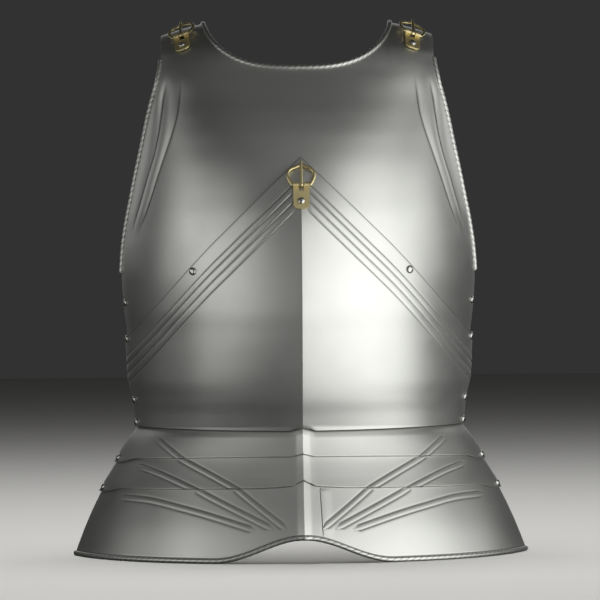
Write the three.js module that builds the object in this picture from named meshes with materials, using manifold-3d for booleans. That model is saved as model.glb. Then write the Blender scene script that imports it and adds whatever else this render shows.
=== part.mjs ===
// A steel breastplate in the Gothic manner: a chest plate, a pointed plackart over its lower half
// and a fauld of three lames, with three brass buckles. Millimetres, +Z up, the front faces -Y.
import * as THREE from "three";
import { mergeVertices } from "three/addons/utils/BufferGeometryUtils.js";
import Module from "manifold-3d";

const wasm = await Module();
wasm.setup();

// ---------------------------------------------------------------- driving sizes
const sheet = 1.5; // plate thickness
const gap = 0.8; // space between two plates that lie on each other
const step = sheet + gap; // how far an upper plate stands outside the one below it
const plackartStep = step + 0.4; // the plackart stands a little further off the chest plate
const clearance = 0.3; // round shanks and bars

const section = { power: 2.15, reach: 0.966 }; // plan curve of the body, cut short of its widest
const keel = { height: 9.6, reach: 90, full: 325, none: 402 };
const neck = { low: 487.3, rise: 63, half: 96, power: 2.8 };
const tabTop = 548;
const armpit = 285;
const armRollTop = 512;
const chestHem = { middle: 300, slope: 0.64 }; // hidden lower edge of the chest plate

const vee = { apex: 395.5, slope: 0.965 }; // upper edge of the plackart
const fluteHeight = 2;
const fluteStart = [6, 18]; // the flutes rise over this distance from the middle
const waist = { side: 131, middle: 128.4, cusp: 4, swell: 0 };
const middleLine = { side: 99.5, middle: 103.7, cusp: 3, swell: 0 };
const hemLine = { side: 70, middle: 73.4, cusp: 4.8, swell: 3.5 };
const [swellHalf, cuspHalf] = [60, 12]; // how far these rises reach from the middle
const overlap = 14; // how far a lame runs up behind the plate above it
const flangeRoom = 0.5; // the waist lame's flange lies this much deeper inside the plackart
const lobe = { depth: 4.4, from: 0.95, to: 0.975 }; // lower corners of a plate, round its side rivet
const arch = { rise: 22.7, half: 88 };
const lameRidge = { height: 1.5, half: 7 };

const rollRadius = { rim: 2.4, hem: 2.6 };
const rollSides = 5;

const rivet = { head: 4, rise: 2, shank: 1.9, tail: 3.2, tailRise: 1, sides: 8 };
const tailRoom = 1.1; // a rivet's tail clears the faceted inner wall
const rivetColumn = 0.986; // share of the half width at which the side rivets sit

const plate = { width: 15.6, length: 24, thick: 1.6, corner: 5, notch: 5, notchDepth: 6, bar: 16.2 };
const frameSize = { width: 29.5, rise: 23.3, point: 1.6, limb: 3.7, thick: 2.4, bar: 1.2, lean: -4 };
const barrel = { outer: 2.5, sides: 8 };
const tongue = { width: 3, thick: 1.5, over: 2.6 };

// ---------------------------------------------------------------- tables
// The chest plate's outer surface, from the waist to the end of the shoulder tabs: half width, depth
// at the middle and at the edge, and how far the edge drops below the row's own height.
const torsoRows = [
  { v: 131, half: 164.9, front: -115, edge: 0, drop: 0 },
  { v: 145, half: 165.3, front: -121, edge: 0, drop: 0 },
  { v: 160, half: 167.4, front: -128, edge: 0, drop: 0 },
  { v: 178, half: 171.4, front: -134.5, edge: 0, drop: 0 },
  { v: 200, half: 172.8, front: -141, edge: 0, drop: 0 },
  { v: 225, half: 174.2, front: -147.5, edge: 0, drop: 0 },
  { v: 250, half: 177.2, front: -153, edge: 0, drop: 0 },
  { v: 285, half: 179.3, front: -156.5, edge: 0, drop: 0 },
  { v: 310, half: 177.6, front: -157.2, edge: -2, drop: 0 },
  { v: 337, half: 173.5, front: -156, edge: -7, drop: 0 },
  { v: 362, half: 168.2, front: -152.8, edge: -13, drop: 0 },
  { v: 388, half: 162.7, front: -147.6, edge: -19, drop: 0 },
  { v: 416, half: 156.2, front: -137.5, edge: -28, drop: 0 },
  { v: 438, half: 151.4, front: -126, edge: -36, drop: 0.6 },
  { v: 457, half: 147, front: -114.5, edge: -43, drop: 2.4 },
  { v: 484, half: 140.4, front: -98, edge: -52, drop: 6 },
  { v: 513.5, half: 136.8, front: -80, edge: -45, drop: 12 },
  { v: 531, half: 137.4, front: -57, edge: -31, drop: 16 },
  { v: 543, half: 137.6, front: -36, edge: -14, drop: 19 },
  { v: 548, half: 137.2, front: -18, edge: 2, drop: 21.5 },
];
// The outer surface of the fauld, through the lower edge of each lame.
const skirtRows = [
  { v: 131, half: 167.6, front: -117.3, edge: 0 },
  { v: 117, half: 177, front: -120.5, edge: 0 },
  { v: 100, half: 186, front: -125.5, edge: 0 },
  { v: 85, half: 194, front: -131.5, edge: 0 },
  { v: 70, half: 202, front: -138.5, edge: 0 },
  { v: 35, half: 217.5, front: -155, edge: 0 },
  { v: 0, half: 230, front: -168.5, edge: 0 },
];
// The two grooves beside each arm: their distance in from the edge.
const armGrooves = [
  { v: 285, outer: 8, inner: 15 },
  { v: 325, outer: 8, inner: 15 },
  { v: 345, outer: 9.6, inner: 19 },
  { v: 380, outer: 12.8, inner: 23.4 },
  { v: 405, outer: 15, inner: 28 },
  { v: 438, outer: 13.6, inner: 28.2 },
  { v: 500, outer: 8, inner: 20 },
  { v: 548, outer: 8, inner: 20 },
];
const armFlute = { height: 1.8, from: 318, full: 350, fade: 440, to: 475 };
// Rows of the plackart below its upper edge, and which of them are crests.
const veeRows = [
  { below: 0, crest: 0 },
  { below: 11, crest: 0 },
  { below: 20.5, crest: 0 },
  { below: 24, crest: 1 },
  { below: 28, crest: 0 },
  { below: 32.5, crest: 1 },
  { below: 37, crest: 0 },
  { below: 42.5, crest: 1 },
  { below: 48, crest: 0 },
];
const lowerShares = [0.2, 0.42, 0.64, 0.84, 1];
// Ribs of the fauld, on the right-hand side: the lame and the points the crest runs through.
const ribTable = [
  { lame: "waist_lame", route: [[147, 121], [136, 112.5], [125, 104]] },
  { lame: "middle_lame", route: [[117, 99], [95, 87.5], [72, 75]] },
  { lame: "middle_lame", route: [[166.7, 93.5], [142, 86], [114, 74]] },
  { lame: "hem_lame", route: [[62, 69], [41, 52], [18, 34]] },
  { lame: "hem_lame", route: [[97, 67], [65, 51], [32, 34.5]] },
  { lame: "hem_lame", route: [[184, 62], [153, 60.5], [122, 54], [91, 46], [49, 33]] },
];
const rib = { half: 2.7, height: 1.6, sink: 1, tip: 0.35, span: 17 };

const halfColumns = [0, 0.045, 0.14, 0.27, 0.4, 0.52, 0.63, 0.73, 0.815, 0.88, 0.93, 0.965, 1];
const lameColumns = [...halfColumns.slice(1).reverse().map((u) => -u), ...halfColumns];

// ---------------------------------------------------------------- small helpers
const clamp01 = (t) => Math.min(1, Math.max(0, t));
const smooth = (a, b, t) => {
  const s = clamp01((t - a) / (b - a));
  return s * s * (3 - 2 * s);
};

// A smooth curve through one column of a table whose rows go up or down in v.
function along(rows, key, v) {
  const up = rows[0].v < rows[rows.length - 1].v ? rows : [...rows].reverse();
  const last = up.length - 1;
  if (v <= up[0].v) return up[0][key];
  if (v >= up[last].v) return up[last][key];
  const i = up.findIndex((row) => row.v > v) - 1;
  const slope = (k) => (up[k + 1][key] - up[k][key]) / (up[k + 1].v - up[k].v);
  const tangent = (k) => {
    if (k === 0) return slope(0);
    if (k === last) return slope(last - 1);
    const [a, b] = [slope(k - 1), slope(k)];
    return a * b <= 0 ? 0 : (2 * a * b) / (a + b);
  };
  const h = up[i + 1].v - up[i].v;
  const t = (v - up[i].v) / h;
  return (
    up[i][key] * (1 + 2 * t) * (1 - t) ** 2 +
    up[i + 1][key] * t * t * (3 - 2 * t) +
    h * tangent(i) * t * (1 - t) ** 2 -
    h * tangent(i + 1) * t * t * (1 - t)
  );
}

// Plan curve: 0 at the side edge, 1 at the middle.
const round = (u) => (1 - (section.reach * Math.abs(u)) ** section.power) ** (1 / section.power);
const bow = (u) => (round(u) - round(1)) / (1 - round(1));

const keelAt = (x, v) =>
  keel.height * smooth(keel.none, keel.full, v) * Math.max(0, 1 - Math.abs(x) / keel.reach) ** 2;

function torso(u, v, keeled = false) {
  const x = u * along(torsoRows, "half", v);
  const [front, edge] = [along(torsoRows, "front", v), along(torsoRows, "edge", v)];
  const y = edge + (front - edge) * bow(u) - (keeled ? keelAt(x, v) : 0);
  return new THREE.Vector3(x, y, v - along(torsoRows, "drop", v) * u * u);
}

function skirt(u, v) {
  const x = u * along(skirtRows, "half", v);
  const [front, edge] = [along(skirtRows, "front", v), along(skirtRows, "edge", v)];
  const ridge = lameRidge.height * Math.max(0, 1 - Math.abs(x) / lameRidge.half);
  return new THREE.Vector3(x, edge + (front - edge) * bow(u) - keelAt(x, v) - ridge, v);
}

// The outward normal of a surface, by small differences.
function normalOf(surface, u, v) {
  const [du, dv] = [0.004, 0.8];
  const across = surface(Math.min(u + du, 1), v).sub(surface(Math.max(u - du, -1), v));
  const up = surface(u, v + dv).sub(surface(u, v - dv));
  return across.cross(up).normalize();
}

const raised = (surface, u, v, height) =>
  surface(u, v).addScaledVector(normalOf(surface, u, v), height);

// A lower edge or a line across the front: level, with a small point at the middle.
const lineAt = (line, x, half) =>
  line.middle + (line.side - line.middle) * (x / half) ** 2 +
  line.swell * Math.max(0, 1 - Math.abs(x) / swellHalf) ** 2 +
  line.cusp * Math.max(0, 1 - Math.abs(x) / cuspHalf);

// ---------------------------------------------------------------- solids
function toSolid(geometry) {
  const bare = geometry.index ? geometry.toNonIndexed() : geometry.clone();
  bare.deleteAttribute("normal");
  bare.deleteAttribute("uv");
  const merged = mergeVertices(bare, 1e-4);
  return new wasm.Manifold(
    new wasm.Mesh({
      numProp: 3,
      vertProperties: merged.attributes.position.array,
      triVerts: new Uint32Array(merged.index.array),
    }),
  );
}

function toGeometry(solid) {
  const mesh = solid.getMesh();
  const geometry = new THREE.BufferGeometry();
  geometry.setAttribute("position", new THREE.BufferAttribute(mesh.vertProperties, 3));
  geometry.setIndex(new THREE.BufferAttribute(mesh.triVerts, 1));
  const flat = geometry.toNonIndexed();
  flat.computeVertexNormals();
  return flat;
}

function indexed(points, triangles) {
  const geometry = new THREE.BufferGeometry().setFromPoints(points);
  geometry.setIndex(triangles);
  return geometry;
}

// A wall of even thickness. rows[i][j] holds its outer point and normal, i upwards, j to the right.
function wall(rows, thickness = sheet) {
  const [m, n] = [rows.length, rows[0].length];
  const outer = rows.flat().map((cell) => cell.at);
  const inner = rows.flat().map((cell) => cell.at.clone().addScaledVector(cell.normal, -thickness));
  const id = (i, j) => i * n + j;
  const back = m * n;
  const faces = [];
  const quad = (a, b, c, d) => faces.push(a, b, c, a, c, d);
  for (let i = 0; i + 1 < m; i++)
    for (let j = 0; j + 1 < n; j++) {
      const [a, b, c, d] = [id(i, j), id(i, j + 1), id(i + 1, j + 1), id(i + 1, j)];
      if (2 * j < n - 1) {
        quad(a, b, c, d);
        quad(back + a, back + d, back + c, back + b);
      } else {
        quad(b, c, d, a);
        quad(back + b, back + a, back + d, back + c);
      }
    }
  const rim = [];
  for (let j = 0; j < n; j++) rim.push(id(0, j));
  for (let i = 1; i < m; i++) rim.push(id(i, n - 1));
  for (let j = n - 2; j >= 0; j--) rim.push(id(m - 1, j));
  for (let i = m - 2; i > 0; i--) rim.push(id(i, 0));
  rim.forEach((a, k) => {
    const b = rim[(k + 1) % rim.length];
    quad(b, a, back + a, back + b);
  });
  return indexed([...outer, ...inner], faces);
}

// A bar of round section through stations, each with its own upward direction.
function roll(stations, radius, sides = rollSides) {
  const points = [];
  stations.forEach(({ at, up }, i) => {
    const before = stations[Math.max(i - 1, 0)].at;
    const after = stations[Math.min(i + 1, stations.length - 1)].at;
    const ahead = after.clone().sub(before).normalize();
    const side = ahead.clone().cross(up).normalize();
    const top = side.clone().cross(ahead);
    for (let k = 0; k < sides; k++) {
      const angle = ((k + 0.5) / sides) * 2 * Math.PI;
      points.push(
        at
          .clone()
          .addScaledVector(top, radius * Math.cos(angle))
          .addScaledVector(side, radius * Math.sin(angle)),
      );
    }
  });
  const faces = [];
  for (let i = 0; i + 1 < stations.length; i++)
    for (let k = 0; k < sides; k++) {
      const [a, b] = [i * sides + k, i * sides + ((k + 1) % sides)];
      faces.push(a, b, b + sides, a, b + sides, a + sides);
    }
  const end = (stations.length - 1) * sides;
  for (let k = 1; k + 1 < sides; k++) faces.push(0, k + 1, k, end, end + k, end + k + 1);
  return indexed(points, faces);
}

// A low rib along a surface: a triangular section that sinks into the plate and thins at its ends.
function ribSolid(surface, heightAt, route, side) {
  const points = [];
  const crest = new THREE.CatmullRomCurve3(route.map(([x, v]) => new THREE.Vector3(x, v, 0)));
  const spans = Math.ceil(crest.getLength() / rib.span);
  const stations = crest.getSpacedPoints(spans).map(({ x, y: v }) => {
    const u = (side * x) / along(skirtRows, "half", v);
    const normal = normalOf(surface, u, v);
    return { at: surface(u, v).addScaledVector(normal, heightAt(x, v)), normal };
  });
  stations.forEach(({ at, normal }, i) => {
    const size = i === 0 || i === spans ? rib.tip : 1;
    const ahead = stations[Math.min(i + 1, spans)].at.clone();
    ahead.sub(stations[Math.max(i - 1, 0)].at).normalize();
    const across = ahead.cross(normal).normalize();
    points.push(at.clone().addScaledVector(across, -rib.half * size).addScaledVector(normal, -rib.sink));
    points.push(at.clone().addScaledVector(normal, rib.height * size));
    points.push(at.clone().addScaledVector(across, rib.half * size).addScaledVector(normal, -rib.sink));
  });
  const faces = [];
  for (let i = 0; i < spans; i++)
    for (let k = 0; k < 3; k++) {
      const [a, b] = [3 * i + k, 3 * i + ((k + 1) % 3)];
      faces.push(a, b, b + 3, a, b + 3, a + 3);
    }
  const end = 3 * spans;
  faces.push(0, 2, 1, end, end + 1, end + 2);
  return toSolid(indexed(points, faces));
}

// Something turned about its own Z axis, set on a surface along the normal there.
function place(object, at, normal, upward) {
  const z = normal.clone().normalize();
  const x = upward.clone().cross(z).normalize();
  object.matrix.makeBasis(x, z.clone().cross(x), z).setPosition(at);
  object.matrix.decompose(object.position, object.quaternion, object.scale);
  object.updateMatrixWorld(true);
  return object;
}

const upZ = new THREE.Vector3(0, 0, 1);

function drill(solid, { at, normal, upward = upZ }) {
  const bit = new THREE.CylinderGeometry(
    rivet.shank + clearance, rivet.shank + clearance, 16, rivet.sides,
  );
  const holder = place(new THREE.Object3D(), at, normal, upward);
  const cut = bit.rotateX(Math.PI / 2).applyMatrix4(holder.matrix);
  return solid.subtract(toSolid(cut));
}

// A rivet's outline turned round its axis: its head above z = 0 and its tail below the plates.
function rivetGeometry(depth) {
  const { head, rise, shank, tail, tailRise, sides } = rivet;
  const outline = [
    [0, -depth - tailRise],
    [tail, -depth],
    [shank, -depth],
    [shank, clearance],
    [head, clearance],
    [head * 0.72, clearance + rise * 0.72],
    [0, clearance + rise],
  ];
  const profile = outline.map(([r, h]) => new THREE.Vector2(r, h));
  return new THREE.LatheGeometry(profile, sides).rotateX(Math.PI / 2);
}

// ---------------------------------------------------------------- materials
const finish = (color, roughness) => new THREE.MeshStandardMaterial({ color, roughness, metalness: 1 });
const steel = () => finish(0x9b9d9a, 0.3);
const brass = () => finish(0xa8924f, 0.35);

const model = new THREE.Group();

function add(name, geometry, material, parent = model) {
  const mesh = new THREE.Mesh(geometry, material);
  mesh.name = name;
  parent.add(mesh);
  return mesh;
}

// ---------------------------------------------------------------- chest plate
const grooveRoom = 10; // plain steel before the first groove
const neckZ = (x) => {
  const share = Math.min(1, Math.abs(x) / neck.half);
  return neck.low + neck.rise * (1 - Math.sqrt(1 - share ** neck.power));
};

// Columns of the chest plate: shares of the plain width, then the flutes beside the arm.
const plainShares = [0, 0.17, 0.34, 0.49, 0.62, 0.73, 0.81, 0.87, 0.918, 1];
const chestColumns = [
  ...plainShares.map((share) => (half, d) => share * (half - d.inner - grooveRoom)),
  (half, d) => half - d.inner,
  (half, d) => half - (d.inner + d.outer) / 2,
  (half, d) => half - d.outer,
  (half, d) => half - d.outer / 2,
  (half) => half,
];
const crestColumns = new Set([plainShares.length + 1, plainShares.length + 3]);
const armFade = (v) =>
  smooth(armFlute.from, armFlute.full, v) * smooth(armFlute.to, armFlute.fade, v);

function chestU(column, v) {
  const half = along(torsoRows, "half", v);
  const d = { outer: along(armGrooves, "outer", v), inner: along(armGrooves, "inner", v) };
  return chestColumns[column](half, d) / half;
}

// The highest v of a column: on the neck curve, or at the end of the tab.
function chestTop(column) {
  const above = (v) => {
    const p = torso(chestU(column, v), v);
    return Math.abs(p.x) < neck.half - 1 && p.z > neckZ(p.x);
  };
  if (!above(tabTop)) return tabTop;
  let [low, high] = [neck.low - 20, tabTop];
  for (let i = 0; i < 40; i++) {
    const mid = (low + high) / 2;
    if (above(mid)) high = mid;
    else low = mid;
  }
  return low;
}

function chestBottom(column) {
  let v = chestHem.middle;
  for (let i = 0; i < 6; i++)
    v = chestHem.middle - chestHem.slope * chestU(column, v) * along(torsoRows, "half", v);
  return v;
}

const chestLevels = [0, 0.15, 0.3, 0.44, 0.57, 0.69, 0.8, 0.89, 0.95, 0.98, 1];

function chestWall() {
  const rows = chestLevels.map((level) => {
    const row = [];
    for (let k = 1 - chestColumns.length; k < chestColumns.length; k++) {
      const column = Math.abs(k);
      const [low, high] = [chestBottom(column), chestTop(column)];
      const v = low + (high - low) * level;
      const u = Math.sign(k) * chestU(column, v);
      const crest = crestColumns.has(column) ? armFlute.height * armFade(v) : 0;
      row.push({ at: raised(torso, u, v, crest), normal: normalOf(torso, u, v) });
    }
    return row;
  });
  return toSolid(wall(rows));
}

function neckRoll() {
  const stations = [];
  const [count, most] = [13, neck.half - 1.4];
  for (let i = -count; i <= count; i++) {
    const x = most * Math.sin((i / count) * 0.5 * Math.PI);
    let v = neck.low;
    let u = 0;
    for (let k = 0; k < 30; k++) {
      u = x / along(torsoRows, "half", v);
      v = Math.min(tabTop, neckZ(x) + along(torsoRows, "drop", v) * u * u);
    }
    stations.push({ at: raised(torso, u, v, 0.3), up: normalOf(torso, u, v) });
  }
  return toSolid(roll(stations, rollRadius.rim));
}

function armRoll(side) {
  const stations = [];
  const count = 13;
  for (let i = 0; i <= count; i++) {
    const v = armpit + (armRollTop - armpit) * (i / count);
    stations.push({ at: raised(torso, side, v, 0.3), up: normalOf(torso, side, v) });
  }
  return toSolid(roll(stations, rollRadius.rim));
}

// ---------------------------------------------------------------- plackart
const veeZ = (x) => vee.apex - vee.slope * Math.abs(x);
const gather = (x) => 1 - 0.2 * (x / 170) ** 2; // the flutes draw together towards the sides
const keeledTorso = (u, v) => torso(u, v, true);

function plackartV(u, below) {
  let v = 300;
  for (let i = 0; i < 12; i++) {
    const x = u * along(torsoRows, "half", v);
    v = veeZ(x) - below * gather(x);
  }
  return v;
}

const waistAt = (u) => lineAt(waist, u * 165, 165);

function plackartWall() {
  const columns = lameColumns;
  const levels = [];
  for (const share of [...lowerShares].reverse()) levels.push({ share, crest: 0 });
  for (const row of [...veeRows].reverse()) levels.push(row);
  const deepest = veeRows[veeRows.length - 1].below;
  const rows = levels.map((level) =>
    columns.map((u) => {
      const flutesEnd = plackartV(u, deepest);
      const v =
        level.share === undefined
          ? plackartV(u, level.below)
          : flutesEnd + (waistAt(u) - flutesEnd) * level.share;
      const x = u * along(torsoRows, "half", v);
      const height = plackartStep + fluteHeight * level.crest * smooth(...fluteStart, Math.abs(x));
      return { at: raised(keeledTorso, u, v, height), normal: normalOf(keeledTorso, u, v) };
    }),
  );
  return toSolid(wall(rows));
}

// ---------------------------------------------------------------- fauld
const lobeAt = (u) => lobe.depth * smooth(lobe.from, lobe.to, Math.abs(u));
const middleAt = (u) => lineAt(middleLine, u * 185, 185);
const hemAt = (u) => lineAt(hemLine, u * 200, 200);

// Where the bottom edge of the hem lame runs: level, with an arch at the middle.
const archAt = (x) =>
  Math.abs(x) < arch.half ? (arch.rise / 2) * (1 + Math.cos((Math.PI * x) / arch.half)) : 0;
const bottomAt = (u) => rollRadius.hem + archAt(u * 227);

// Heights of each lame's outer face over the fauld's surface. A lame lies behind the one above it.
const waistRise = (u, v) => (-step * (v - middleAt(u))) / (waistAt(u) - middleAt(u));
const middleRise = (u, v) =>
  v >= middleAt(u)
    ? waistRise(u, v) - step
    : (-step * (v - hemAt(u))) / (middleAt(u) - hemAt(u));
const hemRise = (u, v) =>
  v >= hemAt(u)
    ? middleRise(u, v) - step
    : (-step * (v - bottomAt(u))) / (hemAt(u) - bottomAt(u));

function lameWall(levels, rise) {
  const rows = levels.map((level) =>
    lameColumns.map((u) => {
      const v = level(u);
      return { at: raised(skirt, u, v, rise(u, v)), normal: normalOf(skirt, u, v) };
    }),
  );
  return toSolid(wall(rows));
}

const between = (low, high, share) => (u) => low(u) + (high(u) - low(u)) * share;

function waistLameWall() {
  const cell = (u, at, normal) => ({ at, normal });
  const bottom = (u) => middleAt(u) - lobeAt(u);
  const skirtRow = (v) =>
    lameColumns.map((u) =>
      cell(u, raised(skirt, u, v(u), waistRise(u, v(u))), normalOf(skirt, u, v(u))),
    );
  const torsoRow = (up) =>
    lameColumns.map((u) => {
      const v = waistAt(u) + up;
      return cell(u, raised(keeledTorso, u, v, -flangeRoom), normalOf(keeledTorso, u, v));
    });
  const flange = torsoRow(overlap);
  const crease = lameColumns.map((u) => {
    const v = waistAt(u);
    const normal = normalOf(skirt, u, v).add(normalOf(keeledTorso, u, v + 2)).normalize();
    return cell(u, raised(keeledTorso, u, v, -flangeRoom), normal);
  });
  return toSolid(wall([skirtRow(bottom), skirtRow(between(bottom, waistAt, 0.5)), crease, flange]));
}

function withRibs(solid, lame, rise) {
  let made = solid;
  for (const row of ribTable.filter((entry) => entry.lame === lame))
    for (const side of [-1, 1]) {
      const heightAt = (x, v) => rise(x / along(skirtRows, "half", v), v);
      made = made.add(ribSolid(skirt, heightAt, row.route, side));
    }
  return made;
}

function hemRoll() {
  const stations = [];
  const count = 18;
  for (let i = -count; i <= count; i++) {
    const u = Math.sin((i / count) * 0.5 * Math.PI);
    stations.push({ at: raised(skirt, u, bottomAt(u), 0), up: new THREE.Vector3(0, 0, -1) });
  }
  return toSolid(roll(stations, rollRadius.hem));
}

// ---------------------------------------------------------------- rivets
// Where each rivet sits: its place on a surface, the face it rests on and how deep the plates go.
function seat(surface, u, v, rise) {
  return { at: raised(surface, u, v, rise), normal: normalOf(surface, u, v), upward: upZ };
}

const onePlate = sheet + tailRoom;
const twoPlates = sheet + plackartStep + tailRoom;
const sideRivets = [
  { name: "chest_rivet", v: 256, depth: onePlate, plates: ["chest_plate"] },
  { name: "plackart_upper_rivet", v: 219.5, depth: twoPlates, plates: ["chest_plate", "plackart"] },
  { name: "plackart_lower_rivet", v: 158, depth: onePlate, plates: ["plackart"] },
  { name: "waist_rivet", v: 135, depth: twoPlates, plates: ["plackart", "waist_lame"] },
  { name: "middle_rivet", v: 99.5, depth: twoPlates, plates: ["waist_lame", "middle_lame"] },
  { name: "hem_rivet", v: 70, depth: twoPlates, plates: ["middle_lame", "hem_lame"] },
];

function sideSeat(row, side) {
  const u = side * rivetColumn;
  if (row.name === "chest_rivet") return seat(torso, u, row.v, 0);
  if (row.name === "middle_rivet") return seat(skirt, u, row.v, waistRise(u, row.v));
  if (row.name === "hem_rivet") return seat(skirt, u, row.v, middleRise(u, row.v));
  return seat(torso, u, row.v, plackartStep);
}

const bandRivet = { x: 105, below: 8 };

function bandSeat(side) {
  const v = veeZ(bandRivet.x) - bandRivet.below;
  return seat(torso, (side * bandRivet.x) / along(torsoRows, "half", v), v, plackartStep);
}

const seats = [];
for (const [side, word] of [[-1, "left"], [1, "right"]]) {
  for (const row of sideRivets)
    seats.push({ ...row, name: row.name + "_" + word, place: sideSeat(row, side) });
  seats.push({
    name: "band_rivet_" + word,
    depth: twoPlates,
    plates: ["chest_plate", "plackart"],
    place: bandSeat(side),
  });
}

// ---------------------------------------------------------------- buckles
// A buckle is made flat: X across, Y towards the frame's end, Z out of the plate under it.
const barHeight = barrel.outer + 0.2;
const buckleBase = 0.6; // the brass plate's underside over the highest point below it

function plateOutline() {
  const { width, length, corner, notch, notchDepth, bar } = plate;
  const [w, low] = [width / 2, bar - length];
  const shape = new THREE.Shape();
  shape.moveTo(-w, bar);
  shape.lineTo(-w, low + corner);
  shape.quadraticCurveTo(-w, low, -w + corner, low);
  shape.lineTo(w - corner, low);
  shape.quadraticCurveTo(w, low, w, low + corner);
  shape.lineTo(w, bar);
  shape.lineTo(notch / 2, bar);
  shape.lineTo(notch / 2, bar - notchDepth);
  shape.lineTo(-notch / 2, bar - notchDepth);
  shape.lineTo(-notch / 2, bar);
  shape.closePath();
  return shape;
}

// A ring about the X axis, as long as the given span, round the bar.
function eye(from, to, outer, inner, sides) {
  const ring = new THREE.Shape().absarc(0, 0, outer, 0, 2 * Math.PI, false);
  ring.holes.push(new THREE.Path().absarc(0, 0, inner, 0, 2 * Math.PI, true));
  const made = new THREE.ExtrudeGeometry(ring, {
    depth: to - from, bevelEnabled: false, curveSegments: sides,
  });
  return made.rotateY(Math.PI / 2).translate(from, plate.bar, barHeight);
}

function bucklePlate() {
  const leaf = new THREE.ExtrudeGeometry(plateOutline(), {
    depth: plate.thick, bevelEnabled: false, curveSegments: 3,
  });
  const barHole = new THREE.CylinderGeometry(
    frameSize.bar + clearance, frameSize.bar + clearance, 40, barrel.sides,
  );
  const shankHole = new THREE.CylinderGeometry(
    rivet.shank + clearance, rivet.shank + clearance, 16, rivet.sides,
  );
  const halfWidth = plate.width / 2;
  let made = toSolid(leaf);
  for (const side of [-1, 1]) {
    const span = [(side * plate.notch) / 2, side * halfWidth].sort((a, b) => a - b);
    made = made.add(toSolid(eye(...span, barrel.outer, 0.4, barrel.sides)));
    // A fillet under the eye, upright where it meets the leaf.
    const fillet = new THREE.BoxGeometry(span[1] - span[0], barrel.outer, barHeight);
    fillet.translate((span[0] + span[1]) / 2, plate.bar - barrel.outer / 2, barHeight / 2);
    made = made.add(toSolid(fillet));
  }
  made = made.subtract(
    toSolid(barHole.rotateZ(Math.PI / 2).translate(0, plate.bar, barHeight)),
  );
  return made.subtract(toSolid(shankHole.rotateX(Math.PI / 2)));
}

// A D-shaped loop, slightly pointed at its far end, with a round bar across its open side.
function frameSolid() {
  const { width, rise, point, limb, thick, bar } = frameSize;
  const loop = (w, top, low, tip) => {
    const path = new THREE.Shape();
    path.moveTo(-w * 0.72, low);
    path.bezierCurveTo(-w * 1.08, low + 3, -w * 1.12, top * 0.72, -w * 0.45, top - 0.6);
    path.lineTo(0, top + tip);
    path.lineTo(w * 0.45, top - 0.6);
    path.bezierCurveTo(w * 1.12, top * 0.72, w * 1.08, low + 3, w * 0.72, low);
    path.closePath();
    return path;
  };
  const block = (outline, depth) => {
    const made = new THREE.ExtrudeGeometry(outline, { depth, bevelEnabled: false, curveSegments: 7 });
    return toSolid(made.translate(0, 0, -depth / 2));
  };
  const inner = loop(width / 2 - limb, rise - point - limb, 1.6, point * 0.8);
  const solid = block(loop(width / 2, rise - point, -1.2, point), thick).subtract(block(inner, 8));
  const halfGap = plate.width / 2 + clearance;
  const slot = new THREE.BoxGeometry(2 * halfGap, 2 * (barrel.outer + clearance) + 0.4, 8);
  const rod = new THREE.CylinderGeometry(bar, bar, 2 * halfGap + 2, barrel.sides);
  return solid.subtract(toSolid(slot)).add(toSolid(rod.rotateZ(Math.PI / 2)));
}

function tongueSolid() {
  const reach = frameSize.rise + tongue.over;
  const ringOuter = barrel.outer - 0.1;
  const rest = frameSize.thick / 2 + clearance;
  const arm = new THREE.Shape();
  arm.moveTo(0, ringOuter - tongue.thick);
  arm.lineTo(frameSize.rise - frameSize.limb - 1, rest);
  arm.lineTo(reach, rest);
  arm.lineTo(reach, rest + tongue.thick * 0.6);
  arm.lineTo(frameSize.rise - frameSize.limb - 1, rest + tongue.thick);
  arm.lineTo(0, ringOuter);
  arm.closePath();
  const bar = new THREE.ExtrudeGeometry(arm, { depth: tongue.width, bevelEnabled: false });
  // The outline's first axis becomes Y and its second Z.
  const turn = new THREE.Matrix4().set(0, 0, 1, -tongue.width / 2, 1, 0, 0, 0, 0, 1, 0, 0, 0, 0, 0, 1);
  const ring = eye(-tongue.width / 2, tongue.width / 2, ringOuter, frameSize.bar + clearance, 8);
  ring.translate(0, -plate.bar, -barHeight);
  const hole = new THREE.CylinderGeometry(
    frameSize.bar + clearance, frameSize.bar + clearance, 8, 8,
  );
  return toSolid(ring)
    .add(toSolid(bar.applyMatrix4(turn)))
    .subtract(toSolid(hole.rotateZ(Math.PI / 2)));
}

const bucklePieces = {
  plate: toGeometry(bucklePlate()),
  frame: toGeometry(frameSolid()),
  tongue: toGeometry(tongueSolid()),
};

// The plane of a buckle: through its rivet, along the plate's middle line.
function buckleSeat(surface, u, v, rise, back, ahead) {
  const low = raised(surface, u, v - back, rise);
  const high = raised(surface, u, v + ahead, rise);
  const at = raised(surface, u, v, rise);
  const up = high.sub(low).normalize();
  const normal = normalOf(surface, u, v);
  normal.addScaledVector(up, -normal.dot(up)).normalize();
  return { at: at.addScaledVector(normal, buckleBase), normal, upward: up };
}

const buckles = [
  { name: "centre", seat: buckleSeat(keeledTorso, 0, 352, plackartStep, 6, 16), plates: ["plackart"] },
  { name: "left_shoulder", seat: buckleSeat(torso, -0.838, 521.5, 0, 6, 12), plates: ["chest_plate"] },
  { name: "right_shoulder", seat: buckleSeat(torso, 0.838, 521.5, 0, 6, 12), plates: ["chest_plate"] },
];

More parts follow.
